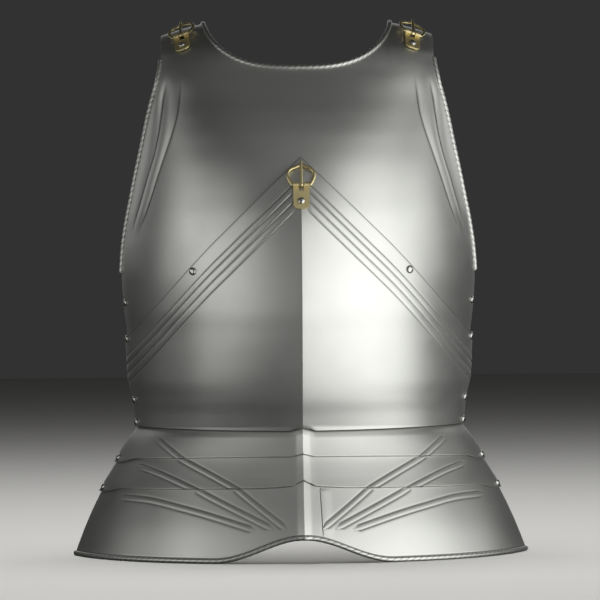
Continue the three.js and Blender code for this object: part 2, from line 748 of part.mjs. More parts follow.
function addBuckle({ name, seat: where }) {
  const group = place(new THREE.Group(), where.at, where.normal, where.upward);
  model.add(group);
  add(name + "_buckle_plate", bucklePieces.plate, brass(), group);
  const hinge = new THREE.Group();
  hinge.position.set(0, plate.bar, barHeight);
  group.add(hinge);
  const loop = new THREE.Group();
  loop.rotation.x = THREE.MathUtils.degToRad(frameSize.lean);
  hinge.add(loop);
  add(name + "_buckle_frame", bucklePieces.frame, brass(), loop);
  add(name + "_buckle_tongue", bucklePieces.tongue, brass(), loop);
  const depth = 3 * buckleBase + sheet + tailRoom + plate.thick;
  const pin = add(name + "_buckle_rivet", rivetGeometry(depth), steel(), group);
  pin.position.z = plate.thick;
}

// ---------------------------------------------------------------- assembly
const plates = {
  chest_plate: chestWall().add(neckRoll()).add(armRoll(-1)).add(armRoll(1)),
  plackart: plackartWall(),
  waist_lame: withRibs(waistLameWall(), "waist_lame", waistRise),
  middle_lame: withRibs(
    lameWall(
      [
        (u) => hemAt(u) - lobeAt(u),
        between(hemAt, middleAt, 0.5),
        middleAt,
        (u) => middleAt(u) + overlap,
      ],
      middleRise,
    ),
    "middle_lame",
    middleRise,
  ),
  hem_lame: withRibs(
    lameWall(
      [bottomAt, between(bottomAt, hemAt, 0.5), hemAt, (u) => hemAt(u) + overlap],
      hemRise,
    ),
    "hem_lame",
    hemRise,
  ).add(hemRoll()),
};

for (const { plates: under, place: where } of seats)
  for (const name of under) plates[name] = drill(plates[name], where);
for (const { plates: under, seat: where } of buckles)
  for (const name of under) plates[name] = drill(plates[name], where);

for (const [name, solid] of Object.entries(plates)) add(name, toGeometry(solid), steel());
for (const { name, depth, place: where } of seats)
  place(add(name, rivetGeometry(depth), steel()), where.at, where.normal, where.upward);
for (const buckle of buckles) addBuckle(buckle);

// The origin is under the middle of the whole part, on the surface it stands on.
const root = new THREE.Group();
root.add(model);
const bounds = new THREE.Box3().setFromObject(model, true);
model.position.y = -(bounds.min.y + bounds.max.y) / 2;
model.position.z = -bounds.min.z;

export default root;
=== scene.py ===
"""The finished steel breastplate: formed sheets, roped rims, domed rivets and brass buckles.

Every piece is modelled in millimetres about the body's own axes: X to the right of the front view,
-Y out of the chest, Z upwards from the hem. It is set into the part's frame, in metres, at the end.
"""

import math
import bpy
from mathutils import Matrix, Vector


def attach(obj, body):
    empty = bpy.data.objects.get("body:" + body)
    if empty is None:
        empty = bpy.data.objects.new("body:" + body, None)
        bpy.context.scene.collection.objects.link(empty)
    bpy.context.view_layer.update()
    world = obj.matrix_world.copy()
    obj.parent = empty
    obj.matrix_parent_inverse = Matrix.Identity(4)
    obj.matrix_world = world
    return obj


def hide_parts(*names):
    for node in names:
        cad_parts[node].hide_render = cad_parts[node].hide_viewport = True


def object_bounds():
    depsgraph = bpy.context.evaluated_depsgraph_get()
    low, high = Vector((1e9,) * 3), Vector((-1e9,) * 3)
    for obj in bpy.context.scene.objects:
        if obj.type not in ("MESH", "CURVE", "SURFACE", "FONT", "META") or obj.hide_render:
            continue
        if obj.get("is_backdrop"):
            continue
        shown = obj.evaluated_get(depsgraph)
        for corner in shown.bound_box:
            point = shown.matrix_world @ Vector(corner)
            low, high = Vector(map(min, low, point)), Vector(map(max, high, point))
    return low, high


bl_info = {
    "name": "Gothic breastplate",
    "version": (1, 0, 0),
    "blender": (4, 5, 0),
    "location": "View3D > Sidebar > Breastplate",
    "description": "Builds a steel breastplate with plackart, fauld and brass buckles",
    "category": "Add Mesh",
}

from types import SimpleNamespace

import bpy
import numpy as np
from mathutils import Matrix, Vector

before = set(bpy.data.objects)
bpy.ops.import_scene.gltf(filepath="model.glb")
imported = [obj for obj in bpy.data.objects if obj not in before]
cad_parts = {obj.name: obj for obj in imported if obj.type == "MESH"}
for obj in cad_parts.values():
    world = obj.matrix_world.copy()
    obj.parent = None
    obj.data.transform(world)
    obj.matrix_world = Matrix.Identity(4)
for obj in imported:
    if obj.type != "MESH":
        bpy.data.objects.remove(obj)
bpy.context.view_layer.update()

MM = 0.001
BODY_ORIGIN = Vector((0, 0.085003, -0.000497))  # the body's own axes, in the part's frame


def linear(code):
    """The linear colour of an sRGB hex code."""
    shares = [int(code[i:i + 2], 16) / 255 for i in (1, 3, 5)]
    return [c / 12.92 if c <= 0.04045 else ((c + 0.055) / 1.055) ** 2.4 for c in shares]


# ---- the body's form
def table(names, *rows):
    """Named columns of numbers."""
    return dict(zip(names.split(), np.array(rows, float).T))


# The chest's outer surface from the waist to the ends of the shoulder tabs: half width, depth at
# the middle and at the edge, and how far the edge drops below the row's own height.
TORSO = table(
    "v half front edge drop",
    (131, 164.9, -115, 0, 0),
    (145, 165.3, -121, 0, 0),
    (160, 167.4, -128, 0, 0),
    (178, 171.4, -134.5, 0, 0),
    (200, 172.8, -141, 0, 0),
    (225, 174.2, -147.5, 0, 0),
    (250, 177.2, -153, 0, 0),
    (285, 179.3, -156.5, 0, 0),
    (310, 177.6, -157.2, -2, 0),
    (337, 173.5, -156, -7, 0),
    (362, 168.2, -152.8, -13, 0),
    (388, 162.7, -147.6, -19, 0),
    (416, 156.2, -137.5, -28, 0),
    (438, 151.4, -126, -36, 0.6),
    (457, 147, -114.5, -43, 2.4),
    (484, 140.4, -98, -52, 6),
    (513.5, 136.8, -80, -45, 12),
    (531, 137.4, -57, -31, 16),
    (543, 137.6, -36, -14, 19),
    (548, 137.2, -18, 2, 21.5),
)
# The fauld's outer surface, through the lower edge of each lame.
SKIRT = table(
    "v half front",
    (0, 230, -168.5),
    (35, 217.5, -155),
    (70, 202, -138.5),
    (85, 194, -131.5),
    (100, 186, -125.5),
    (117, 177, -120.5),
    (131, 167.6, -117.3),
)
# The two grooves beside each arm: their distance in from the edge.
ARM_GROOVES = table(
    "v outer inner",
    (285, 8, 15),
    (325, 8, 15),
    (345, 9.6, 19),
    (380, 12.8, 23.4),
    (405, 15, 26.4),
    (425, 14.8, 28.8),
    (440, 13.6, 29.8),
    (500, 8, 22),
    (548, 8, 20),
)
# Ribs of the fauld on one side: the points in x and v that each crest runs through.
WAIST_RIBS = [[(147, 121), (136, 112.5), (125, 104), (114, 96)]]
MIDDLE_RIBS = [
    [(127, 105), (117, 99), (95, 87.5), (72, 75), (60, 68)],
    [(166.7, 93.5), (142, 86), (114, 74), (100, 67)],
]
HEM_RIBS = [
    [(70, 76), (62, 69), (41, 52), (18, 34)],
    [(109, 74), (97, 67), (65, 51), (32, 34.5)],
    [(184, 62), (153, 60.5), (122, 54), (91, 46), (49, 33)],
]

SECTION_POWER, SECTION_REACH = 2.15, 0.966  # plan curve of the body, cut short of its widest
KEEL = {"height": 9.6, "reach": 90, "full": 325, "none": 402}
LAME_RIDGE = {"height": 1.5, "half": 7}
NECK = {"low": 487.3, "rise": 63, "half": 96, "power": 2.8}
TAB_TOP = 548
ARMPIT, ARM_ROLL_TOP = 285, 512
CHEST_HEM = {"middle": 300, "slope": 0.64}  # the chest plate's hidden lower edge
VEE = {"apex": 396, "slope": 0.965, "droop": 8.5, "from": 80, "to": 170}  # upper edge of the plackart
VEE_LINES = (19.5, 28, 37.5, 47.5)  # the flutes' grooves, below that edge at the middle
VEE_EDGE_SHADOW, VEE_GROOVE_SHADE = 1.25, 0.5  # width of the painted shadow line along the upper edge, darkness of the painted shade in the grooves
WAIST = {"side": 131, "middle": 128.4, "cusp": 4, "swell": 0, "half": 165}
MIDDLE_LINE = {"side": 99.5, "middle": 103.7, "cusp": 3, "swell": 0, "half": 185}
HEM_LINE = {"side": 70, "middle": 73.4, "cusp": 4.8, "swell": 3.5, "half": 200}
SWELL_HALF, CUSP_HALF = 60, 12
LAP = 14  # how far a lame runs up behind the plate above it
STEP = 2.3  # how far an upper plate stands outside the one below it
PLACKART_RISE = 2.7
FLANGE_ROOM = 0.5
LOBE = {"depth": 4.4, "start": 0.89, "full": 0.975}
ARCH = {"rise": 22.7, "half": 88, "hem_half": 227}  # the hem's arch, and half the hem's width
HEM_ROLL_HEIGHT = 2.6  # the hem roll's middle above the surface the part stands on
ROLL_SEAT = 0.3  # how far the rolls' middle lines stand off the sheet's edge
LINE_HALF = 0.8  # half the width of an incised line
ARM_FADE = {"start": 318, "full": 350, "fading": 456, "gone": 490}
GROOVE_ROOM = 10  # plain steel before the first groove beside the arm
OUTER_FLUTE = 0.8  # height of the flute nearer the arm, as a share of the other's
NECK_ROLL_ROOM = 1.4  # how far inside the tab's edge the neck's roll ends
SIDE_RIVET_COLUMN = 0.986


def smooth(a, b, t):
    s = np.clip((t - a) / (b - a), 0, 1)
    return s * s * (3 - 2 * s)


def along(rows, name, v):
    """A smooth curve through one column of a table whose rows rise in v."""
    at, value = rows["v"], rows[name]
    slope = np.diff(value) / np.diff(at)
    before, after = slope[:-1], slope[1:]
    turning = before * after <= 0
    mean = 2 * before * after / np.where(turning, 1, before + after)
    tangent = np.concatenate([slope[:1], np.where(turning, 0, mean), slope[-1:]])
    v = np.clip(v, at[0], at[-1])
    i = np.clip(np.searchsorted(at, v, side="right") - 1, 0, len(at) - 2)
    h = at[i + 1] - at[i]
    t = (v - at[i]) / h
    return (
        value[i] * (1 + 2 * t) * (1 - t) ** 2
        + value[i + 1] * t * t * (3 - 2 * t)
        + h * tangent[i] * t * (1 - t) ** 2
        - h * tangent[i + 1] * t * t * (1 - t)
    )


def bow(u):
    """Plan curve of the body: 0 at the side edge and 1 at the middle."""
    def quarter(s):
        return (1 - (SECTION_REACH * np.abs(s)) ** SECTION_POWER) ** (1 / SECTION_POWER)
    return (quarter(u) - quarter(1)) / (1 - quarter(1))


def keel_at(x, v):
    narrowing = np.maximum(0, 1 - np.abs(x) / KEEL["reach"]) ** 2
    return KEEL["height"] * smooth(KEEL["none"], KEEL["full"], v) * narrowing


def chest_form(u, v):
    """The chest plate's outer surface. It has no keel."""
    u, v = np.broadcast_arrays(np.asarray(u, float), np.asarray(v, float))
    front, edge = along(TORSO, "front", v), along(TORSO, "edge", v)
    x = u * along(TORSO, "half", v)
    return np.stack([x, edge + (front - edge) * bow(u), v - along(TORSO, "drop", v) * u * u], -1)


def plackart_form(u, v):
    """The same surface with the keel, which the plackart and the waist flange follow."""
    at = chest_form(u, v)
    at[..., 1] -= keel_at(at[..., 0], v)
    return at


def skirt_form(u, v):
    """The fauld's surface, with the keel and the sharper rib on it."""
    u, v = np.broadcast_arrays(np.asarray(u, float), np.asarray(v, float))
    x = u * along(SKIRT, "half", v)
    ridge = LAME_RIDGE["height"] * np.maximum(0, 1 - np.abs(x) / LAME_RIDGE["half"])
    y = along(SKIRT, "front", v) * bow(u) - keel_at(x, v) - ridge
    return np.stack([x, y, v], -1)


def normal_of(form, u, v):
    du, dv = 0.004, 0.8
    across = form(np.minimum(u + du, 1), v) - form(np.maximum(u - du, -1), v)
    up = form(u, v + dv) - form(u, v - dv)
    normal = np.cross(across, up)
    return normal / np.linalg.norm(normal, axis=-1, keepdims=True)


def raised(form, u, v, height):
    u, v = np.broadcast_arrays(np.asarray(u, float), np.asarray(v, float))
    return form(u, v) + normal_of(form, u, v) * np.asarray(height)[..., None]


def line_at(line, u):
    """A lower edge or a line across the front: level, with a small point at the middle."""
    x = np.abs(np.asarray(u, float)) * line["half"]
    return (
        line["middle"]
        + (line["side"] - line["middle"]) * (x / line["half"]) ** 2
        + line["swell"] * np.maximum(0, 1 - x / SWELL_HALF) ** 2
        + line["cusp"] * np.maximum(0, 1 - x / CUSP_HALF)
    )


def waist_at(u):
    return line_at(WAIST, u)


def middle_at(u):
    return line_at(MIDDLE_LINE, u)


def hem_at(u):
    return line_at(HEM_LINE, u)


def lobe_at(u):
    return LOBE["depth"] * smooth(LOBE["start"], LOBE["full"], np.abs(u))


def bottom_at(u):
    x = np.asarray(u, float) * ARCH["hem_half"]
    arch = ARCH["rise"] / 2 * (1 + np.cos(np.pi * x / ARCH["half"]))
    return HEM_ROLL_HEIGHT + np.where(np.abs(x) < ARCH["half"], arch, 0)


def waist_rise(u, v):
    """Height of the waist lame's face over the fauld's surface."""
    return -STEP * (v - middle_at(u)) / (waist_at(u) - middle_at(u))


def middle_rise(u, v):
    below = -STEP * (v - hem_at(u)) / (middle_at(u) - hem_at(u))
    return np.where(v >= middle_at(u), waist_rise(u, v) - STEP, below)


def hem_rise(u, v):
    below = -STEP * (v - bottom_at(u)) / (hem_at(u) - bottom_at(u))
    return np.where(v >= hem_at(u), middle_rise(u, v) - STEP, below)


def vee_at(u, below):
    """Height of a line that runs a given distance below the plackart's upper edge."""
    v = np.full(np.broadcast(u, below).shape, 300.0)
    for _ in range(12):  # settles soon, because the half width changes slowly with height
        x = u * along(TORSO, "half", v)
        droop = VEE["droop"] * smooth(VEE["from"], VEE["to"], np.abs(x))
        v = VEE["apex"] - VEE["slope"] * np.abs(x) - droop - below
    return v


def neck_z(x):
    share = np.minimum(1, np.abs(x) / NECK["half"])
    return NECK["low"] + NECK["rise"] * (1 - np.sqrt(1 - share ** NECK["power"]))


# ---- modelling helpers
def deselect_all():
    if bpy.context.mode != "OBJECT":
        bpy.ops.object.mode_set(mode="OBJECT")
    bpy.ops.object.select_all(action="DESELECT")


def fresh(name):
    """The primitive just added, named and alone in the selection."""
    obj = bpy.context.object
    obj.name = obj.data.name = name
    return obj


def make_active(obj):
    deselect_all()
    obj.select_set(True)
    bpy.context.view_layer.objects.active = obj


def edit(obj, kind="VERT"):
    """Goes into edit mode with nothing selected."""
    make_active(obj)
    bpy.ops.object.mode_set(mode="EDIT")
    bpy.ops.mesh.select_mode(type=kind)
    bpy.ops.mesh.select_all(action="DESELECT")


def select_where(obj, kind, test):
    """Selects an object's vertices, edges or faces by a test on each one."""
    edit(obj, kind)
    bpy.ops.object.mode_set(mode="OBJECT")
    group = {"VERT": obj.data.vertices, "EDGE": obj.data.edges, "FACE": obj.data.polygons}[kind]
    for item in group:
        item.select = bool(test(item))
    bpy.ops.object.mode_set(mode="EDIT")


def applied(obj, kind, **settings):
    """Adds a modifier with its settings and applies it."""
    make_active(obj)
    made = obj.modifiers.new(kind.title(), kind)
    for name, value in settings.items():
        setattr(made, name, value)
    bpy.ops.object.modifier_apply(modifier=made.name)


def clean_normals(obj):
    edit(obj)
    bpy.ops.mesh.select_all(action="SELECT")
    bpy.ops.mesh.remove_doubles(threshold=1e-4)
    bpy.ops.mesh.normals_make_consistent(inside=False)
    bpy.ops.object.mode_set(mode="OBJECT")


def shade(obj, degrees):
    make_active(obj)
    bpy.ops.object.shade_smooth_by_angle(angle=math.radians(degrees), keep_sharp_edges=True)


def paint(obj, name, values):
    """A number at each vertex, which the materials read."""
    layer = obj.data.attributes.new(name, "FLOAT", "POINT")
    layer.data.foreach_set("value", np.asarray(values, np.float32))


def formed_grid(name, points, **tones):
    """A grid of faces laid over points[row, column]; tones are numbers at each point."""
    rows, columns = points.shape[:2]
    deselect_all()
    bpy.ops.mesh.primitive_grid_add(x_subdivisions=columns - 1, y_subdivisions=rows - 1, size=2)
    obj = fresh(name)
    flat = np.empty(len(obj.data.vertices) * 3)
    obj.data.vertices.foreach_get("co", flat)
    flat = flat.reshape(-1, 3)
    column = np.rint((flat[:, 0] + 1) / 2 * (columns - 1)).astype(int)
    row = np.rint((flat[:, 1] + 1) / 2 * (rows - 1)).astype(int)
    obj.data.vertices.foreach_set("co", points[row, column].ravel())
    for tone, values in tones.items():
        paint(obj, tone, np.broadcast_to(values, points.shape[:2])[row, column])
    obj.data.update()
    return obj


def crease_middle(obj):
    """Keeps the keel crisp: its edges are marked sharp."""
    across = np.empty(len(obj.data.vertices) * 3)
    obj.data.vertices.foreach_get("co", across)
    middle = np.abs(across[::3]) < 1e-4
    select_where(obj, "EDGE", lambda edge: all(middle[i] for i in edge.vertices))
    bpy.ops.mesh.mark_sharp()
    bpy.ops.object.mode_set(mode="OBJECT")


def ease_edges(obj, width, segments, degrees):
    """Rounds the edges that turn more sharply than an angle."""
    applied(
        obj, "BEVEL", width=width, segments=segments, limit_method="ANGLE",
        angle_limit=math.radians(degrees))


def sheet_metal(name, points, sheet, keeled=True, **tones):
    """A plate of even thickness whose outer face runs through the points, with eased edges."""
    obj = formed_grid(name, points, **tones)
    if keeled:
        crease_middle(obj)
    applied(obj, "SOLIDIFY", thickness=sheet, offset=-1)
    ease_edges(obj, width=0.3, segments=2, degrees=62)
    shade(obj, 38)
    return obj


def frames_along(path, up):
    """The directions to the side and to the top at each station of a path."""
    ahead = np.gradient(path, axis=0)
    ahead /= np.linalg.norm(ahead, axis=1, keepdims=True)
    side = np.cross(ahead, up)
    side /= np.linalg.norm(side, axis=1, keepdims=True)
    return side, np.cross(side, ahead)


def lengths_along(path):
    return np.concatenate([[0], np.cumsum(np.linalg.norm(np.diff(path, axis=0), axis=1))])


def respaced(path, spacing, *others):
    """The same path with even stations, and other values carried along with it."""
    at = lengths_along(path)
    count = int(at[-1] / spacing)
    even = np.linspace(0, at[-1], count + 1)
    lines = (path, *others)
    return [np.stack([np.interp(even, at, line[:, k]) for k in range(3)], 1) for line in lines]


def stations(*stretches):
    """Even stations over stretches of (start, end, count) that follow on, with the last end."""
    runs = [np.linspace(start, end, count, endpoint=False) for start, end, count in stretches]
    return np.concatenate([*runs, [stretches[-1][1]]])


def section(sides, power=1):
    """Angles round a section with their cosines and sines. A power below 1 squares it off."""
    angle = np.arange(sides) / sides * 2 * np.pi
    return angle, *(np.sign(w) * np.abs(w) ** power for w in (np.cos(angle), np.sin(angle)))


def rounded_ends(at, reach):
    """Share of the full section at each station of a path that closes in a dome at both ends."""
    from_end = np.minimum(at, at[-1] - at)
    return np.sqrt(np.clip(1 - (1 - np.minimum(from_end / reach, 1)) ** 2, 0, 1))


def rings_along(path, up, topward, sideward):
    """Rings of points round a path, by how far each stands towards its top and its side."""
    side, top = frames_along(path, up)
    return path[:, None] + topward[..., None] * top[:, None] + sideward[..., None] * side[:, None]


def closed_sweep(name, rings, **tones):
    """A closed tube through rings[station, side], whose first and last ring are single points."""
    def wrapped(values):
        return np.concatenate([values, values[:, :1]], axis=1)

    obj = formed_grid(name, wrapped(rings), **{tone: wrapped(tones[tone]) for tone in tones})
    clean_normals(obj)
    return obj


# Rolled rims: spacing of the rings, points in each, half the width of a cut, how many pitches a
# cut advances in one turn round the roll, and how dark the shade painted into a cut is.
ROPE = {"spacing": 0.5, "sides": 20, "cut_half": 0.42, "slant": 2, "shade_share": 0.8}


def roped_roll(name, path, up, radius, pitch, depth, hand):
    """A rim rolled over a wire and filed into rope: slanting cuts at an even pitch."""
    path, up = respaced(path, ROPE["spacing"], up)
    at = lengths_along(path)
    angle, cosine, sine = section(ROPE["sides"])
    turns = at[:, None] / pitch + hand * ROPE["slant"] * angle / (2 * np.pi)
    from_cut = np.abs(turns - np.rint(turns)) * pitch
    cut = np.exp(-(from_cut / ROPE["cut_half"]) ** 2)
    reach = (radius - depth * cut) * rounded_ends(at, radius)[:, None]
    rings = rings_along(path, up, reach * cosine, reach * sine)
    # Shade is painted into the rope's cuts.
    obj = closed_sweep(name, rings, recess=ROPE["shade_share"] * cut)
    shade(obj, 60)
    return obj


def turned(name, outline, steps=28):
    """A solid turned about Z: a disc drawn out ring by ring along an outline of radii and heights."""
    deselect_all()
    radius, height = outline[0]
    bpy.ops.mesh.primitive_circle_add(
        vertices=steps, radius=radius, location=(0, 0, 0), fill_type="NGON")
    obj = fresh(name)
    obj.data.transform(Matrix.Translation((0, 0, height)))
    edit(obj, "FACE")
    bpy.ops.mesh.select_all(action="SELECT")
    for (r0, z0), (r1, z1) in zip(outline, outline[1:]):
        bpy.ops.mesh.extrude_region_move(TRANSFORM_OT_translate={"value": (0, 0, z1 - z0)})
        bpy.ops.transform.resize(value=(r1 / r0, r1 / r0, 1), center_override=(0, 0, 0))
    clean_normals(obj)
    return obj


def block(name, low, high):
    """A box between two corners."""
    low, high = Vector(low), Vector(high)
    deselect_all()
    bpy.ops.mesh.primitive_cube_add(size=1, location=(low + high) / 2, scale=high - low)
    bpy.ops.object.transform_apply(location=True, rotation=True, scale=True)
    return fresh(name)


def bar_across(name, start, end, centre, radius, steps=32):
    """A round bar along X."""
    deselect_all()
    bpy.ops.mesh.primitive_cylinder_add(
        vertices=steps, radius=radius, depth=end - start,
        location=((start + end) / 2, *centre), rotation=(0, math.pi / 2, 0))
    bpy.ops.object.transform_apply(location=True, rotation=True, scale=True)
    return fresh(name)


def combine(obj, other, operation):
    """Joins another solid to this one, or cuts it out, and takes the other away."""
    applied(obj, "BOOLEAN", operation=operation, object=other, solver="EXACT")
    bpy.data.objects.remove(other)


def copy_of(obj, name):
    made = obj.copy()
    made.data = obj.data.copy()
    made.name = made.data.name = name
    bpy.context.scene.collection.objects.link(made)
    return made


def set_in_frame(obj, where=None):
    """Puts a piece's mesh where it belongs: its seat on the body, then millimetres to metres."""
    if where is not None:
        obj.data.transform(where)
    obj.data.transform(Matrix.Translation(BODY_ORIGIN) @ Matrix.Scale(MM, 4))
    obj.data.update()


def finish_piece(obj, body, material, replaced=(), where=None):
    """Places a piece, gives it its finish and ties it to its body."""
    set_in_frame(obj, where)
    obj.data.materials.clear()
    obj.data.materials.append(material)
    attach(obj, body)
    if replaced:
        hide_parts(*replaced)


# ---- materials
def add_node(tree, kind, values=None, links=None, **settings):
    """Adds a ShaderNode of a kind, with its settings, input values and the links that feed it."""
    made = tree.nodes.new("ShaderNode" + kind)
    for name, value in settings.items():
        setattr(made, name, value)
    for name, value in (values or {}).items():
        made.inputs[name].default_value = value
    for name, source in (links or {}).items():
        tree.links.new(source, made.inputs[name])
    return made


def empty_material(name):
    made = bpy.data.materials.get(name) or bpy.data.materials.new(name)
    made.use_nodes = True
    made.node_tree.nodes.clear()
    return made


def opaque(colour):
    return (*colour, 1)


# How much of a cut's colour is the painted shade, and how much rougher polishing lines and the
# painted shade's places make a metal.
SHADE_AND_POLISH = {"painted_shade": 0.82, "lined": 0.06, "shade_roughness": 0.3}


def metal(name, bright, dull, roughness, planish, streak):
    """A worked metal. planish and streak are the sizes in metres of its dents and polishing lines."""
    made = empty_material(name)
    tree = made.node_tree
    place = add_node(tree, "TexCoord").outputs["Object"]
    # The shade mask: where shade is painted into cuts, grooves and under plate edges.
    recess = add_node(tree, "Attribute", attribute_name="recess").outputs["Fac"]
    patches = add_node(
        tree, "TexNoise", {"Scale": 1 / planish, "Detail": 3, "Roughness": 0.55},
        {"Vector": place})
    line_length = 16 * streak  # a polishing line is 16 times as long as it is wide
    stretched = add_node(
        tree, "Mapping", {"Scale": (1 / line_length, 1 / line_length, 1 / streak)}, {"Vector": place})
    lines = add_node(
        tree, "TexNoise", {"Scale": 1, "Detail": 4, "Roughness": 0.6},
        {"Vector": stretched.outputs["Vector"]})
    # Shade is painted into the cuts and creases, mixing towards the dull colour, and the polish
    # varies a little over the face.
    shade_share = add_node(
        tree, "Math", {1: SHADE_AND_POLISH["painted_shade"]}, {0: recess}, operation="MULTIPLY", use_clamp=True)
    colour = add_node(
        tree, "Mix", {"A": opaque(bright), "B": opaque(dull)},
        {"Factor": shade_share.outputs[0]}, data_type="RGBA")
    base = add_node(
        tree, "MapRange", {"To Min": roughness - 0.05, "To Max": roughness + 0.06},
        {"Value": patches.outputs["Fac"]})
    lined = add_node(
        tree, "Math", {1: SHADE_AND_POLISH["lined"]}, {0: lines.outputs["Fac"], 2: base.outputs[0]},
        operation="MULTIPLY_ADD")
    rough = add_node(
        tree, "Math", {1: SHADE_AND_POLISH["shade_roughness"]}, {0: shade_share.outputs[0], 2: lined.outputs[0]},
        operation="MULTIPLY_ADD", use_clamp=True)
    dents = add_node(
        tree, "Bump", {"Strength": 0.25, "Distance": 0.0006},
        {"Height": patches.outputs["Fac"]})
    grain = add_node(
        tree, "Bump", {"Strength": 0.12, "Distance": 0.00003},
        {"Height": lines.outputs["Fac"], "Normal": dents.outputs["Normal"]})
    shader = add_node(
        tree, "BsdfPrincipled", {"Metallic": 1},
        {"Base Color": colour.outputs["Result"], "Roughness": rough.outputs[0],
         "Normal": grain.outputs["Normal"]})
    add_node(tree, "OutputMaterial", links={"Surface": shader.outputs["BSDF"]})
    return made


def satin_steel(finish):
    """Mild steel sheet, hammered to shape, planished and satin polished: soft wide reflections."""
    return metal(
        "Satin polished mild steel", finish.steel, finish.painted_shade,
        roughness=0.39, planish=0.045, streak=0.0012)


def rivet_steel(finish):
    """Domed steel rivets, peened and buffed: a brighter, tighter highlight than the sheet."""
    return metal(
        "Peened steel rivet", finish.rivet, finish.painted_shade,
        roughness=0.22, planish=0.006, streak=0.0005)


def yellow_brass(finish):
    """Cast and filed yellow brass, gone a little dull: warm highlights on a soft surface."""
    return metal(
        "Filed yellow brass", finish.brass, finish.brass_shade,
        roughness=0.26, planish=0.008, streak=0.0006)


def dull_brass(finish):
    """Rolled brass strip, scuffed and tarnished: a flat, mottled glow instead of a highlight."""
    return metal(
        "Scuffed brass strip", finish.brass, finish.brass_shade,
        roughness=0.5, planish=0.004, streak=0.0008)


# ---- settings
def length(label, description, default):
    return bpy.props.FloatProperty(
        name=label, description=description, default=default, min=0, unit="LENGTH",
        subtype="DISTANCE", precision=5)


def colour(label, description, code):
    return bpy.props.FloatVectorProperty(
        name=label, description=description, default=linear(code), size=3, min=0, max=1,
        subtype="COLOR")


class PlateSettings(bpy.types.PropertyGroup):
    sheet: length("Sheet", "Thickness of the steel", 0.0015)
    flute: length("Flute", "Height of the plackart's flutes", 0.0005)
    arm_flute: length("Arm flute", "Height of the flutes beside the arms", 0.0013)
    rib: length("Rib", "Height of the fauld's ribs", 0.0003)
    rib_half: length("Rib half width", "Half the width of a rib", 0.0029)
    cut: length("Cut", "Depth of the incised lines", 0.0003)


class RollSettings(bpy.types.PropertyGroup):
    rim: length("Rim radius", "Radius of the neck and arm rolls", 0.0024)
    hem: length("Hem radius", "Radius of the hem's roll", 0.0024)
    rim_pitch: length("Rim pitch", "Distance between the cuts at the neck and arms", 0.006)
    hem_pitch: length("Hem pitch", "Distance between the cuts at the hem", 0.007)
    cut: length("Cut", "Depth of the rope's cuts", 0.0004)


class RivetSettings(bpy.types.PropertyGroup):
    head: length("Head", "Radius of a rivet's head", 0.004)
    rise: length("Rise", "Height of a rivet's dome", 0.0024)
    shank: length("Shank", "Radius of a rivet's shank", 0.0019)
    tail: length("Tail", "Radius of a rivet's peened tail", 0.0032)


class BuckleSettings(bpy.types.PropertyGroup):
    width: length("Plate width", "Width of a buckle's plate", 0.0156)
    length: length("Plate length", "Length of a buckle's plate below its bar", 0.024)
    thick: length("Plate thickness", "Thickness of a buckle's plate", 0.0016)
    corner: length("Corner", "Radius of the plate's lower corners", 0.005)
    frame_width: length("Frame width", "Outer width of a buckle's frame", 0.0295)
    frame_rise: length("Frame rise", "Height of the frame above its bar", 0.0233)
    tongue: length("Tongue", "Width of the tongue", 0.003)


class FinishSettings(bpy.types.PropertyGroup):
    steel: colour("Steel", "Polished sheet steel", "#c9cac5")
    # The colour of the shade painted into cuts, grooves and under plate edges.
    painted_shade: colour("Oxide", "Dark oxide left in the cuts", "#3c3c3a")
    rivet: colour("Rivets", "Rivet heads", "#c4c4bf")
    brass: colour("Brass", "Yellow brass", "#e8daa6")
    brass_shade: colour("Brass shade", "Tarnish in the brass's corners", "#6a5a2a")
    floor: colour("Floor", "The studio floor", "#d9d8d5")
    surround: colour("Surround", "The dark studio round the part", "#323232")


class StageSettings(bpy.types.PropertyGroup):
    distance: length("Camera distance", "From the camera to the part's middle", 3.75)
    height: length("Camera height", "Height of the camera above the floor", 0.2565)
    turn: bpy.props.FloatProperty(
        name="Turn", description="How far the camera stands to the left of the front",
        default=math.radians(1.3), subtype="ANGLE")
    tilt: bpy.props.FloatProperty(
        name="Tilt", description="How far the camera leans to its right",
        default=math.radians(0.55), subtype="ANGLE")
    lens: bpy.props.FloatProperty(
        name="Lens", description="Focal length", default=225, subtype="DISTANCE_CAMERA")
    glow: bpy.props.FloatProperty(
        name="Glow", description="Watts from a square metre of a softbox of glow 1", default=5.4)
    top: bpy.props.FloatProperty(
        name="Top", description="Overhead light on the floor", default=65, unit="POWER")


class BreastplateSettings(bpy.types.PropertyGroup):
    plates: bpy.props.PointerProperty(type=PlateSettings)
    rolls: bpy.props.PointerProperty(type=RollSettings)
    rivets: bpy.props.PointerProperty(type=RivetSettings)
    buckles: bpy.props.PointerProperty(type=BuckleSettings)
    finish: bpy.props.PointerProperty(type=FinishSettings)
    stage: bpy.props.PointerProperty(type=StageSettings)


def names_in(group):
    """The names of a settings group's own values."""
    return [name for name in group.bl_rna.properties.keys() if name not in ("rna_type", "name")]


def in_mm(group):
    """The lengths of a settings group, in millimetres."""
    return SimpleNamespace(**{name: getattr(group, name) / MM for name in names_in(group)})


# ---- chest plate
def chest_u(place, v):
    """Share of the half width for a place between the middle, 0, and the arm's edge, 4.

    Plain steel ends at 1, and the grooves beside the arm run at 2 and 3."""
    half = along(TORSO, "half", v)
    inner, outer = along(ARM_GROOVES, "inner", v), along(ARM_GROOVES, "outer", v)
    stops = [np.zeros_like(half), half - inner - GROOVE_ROOM, half - inner, half - outer, half]
    x = np.zeros_like(half)
    for k in range(4):
        share = np.clip(place - k, 0, 1)
        x = x + share * (stops[k + 1] - stops[k])
    return x / half


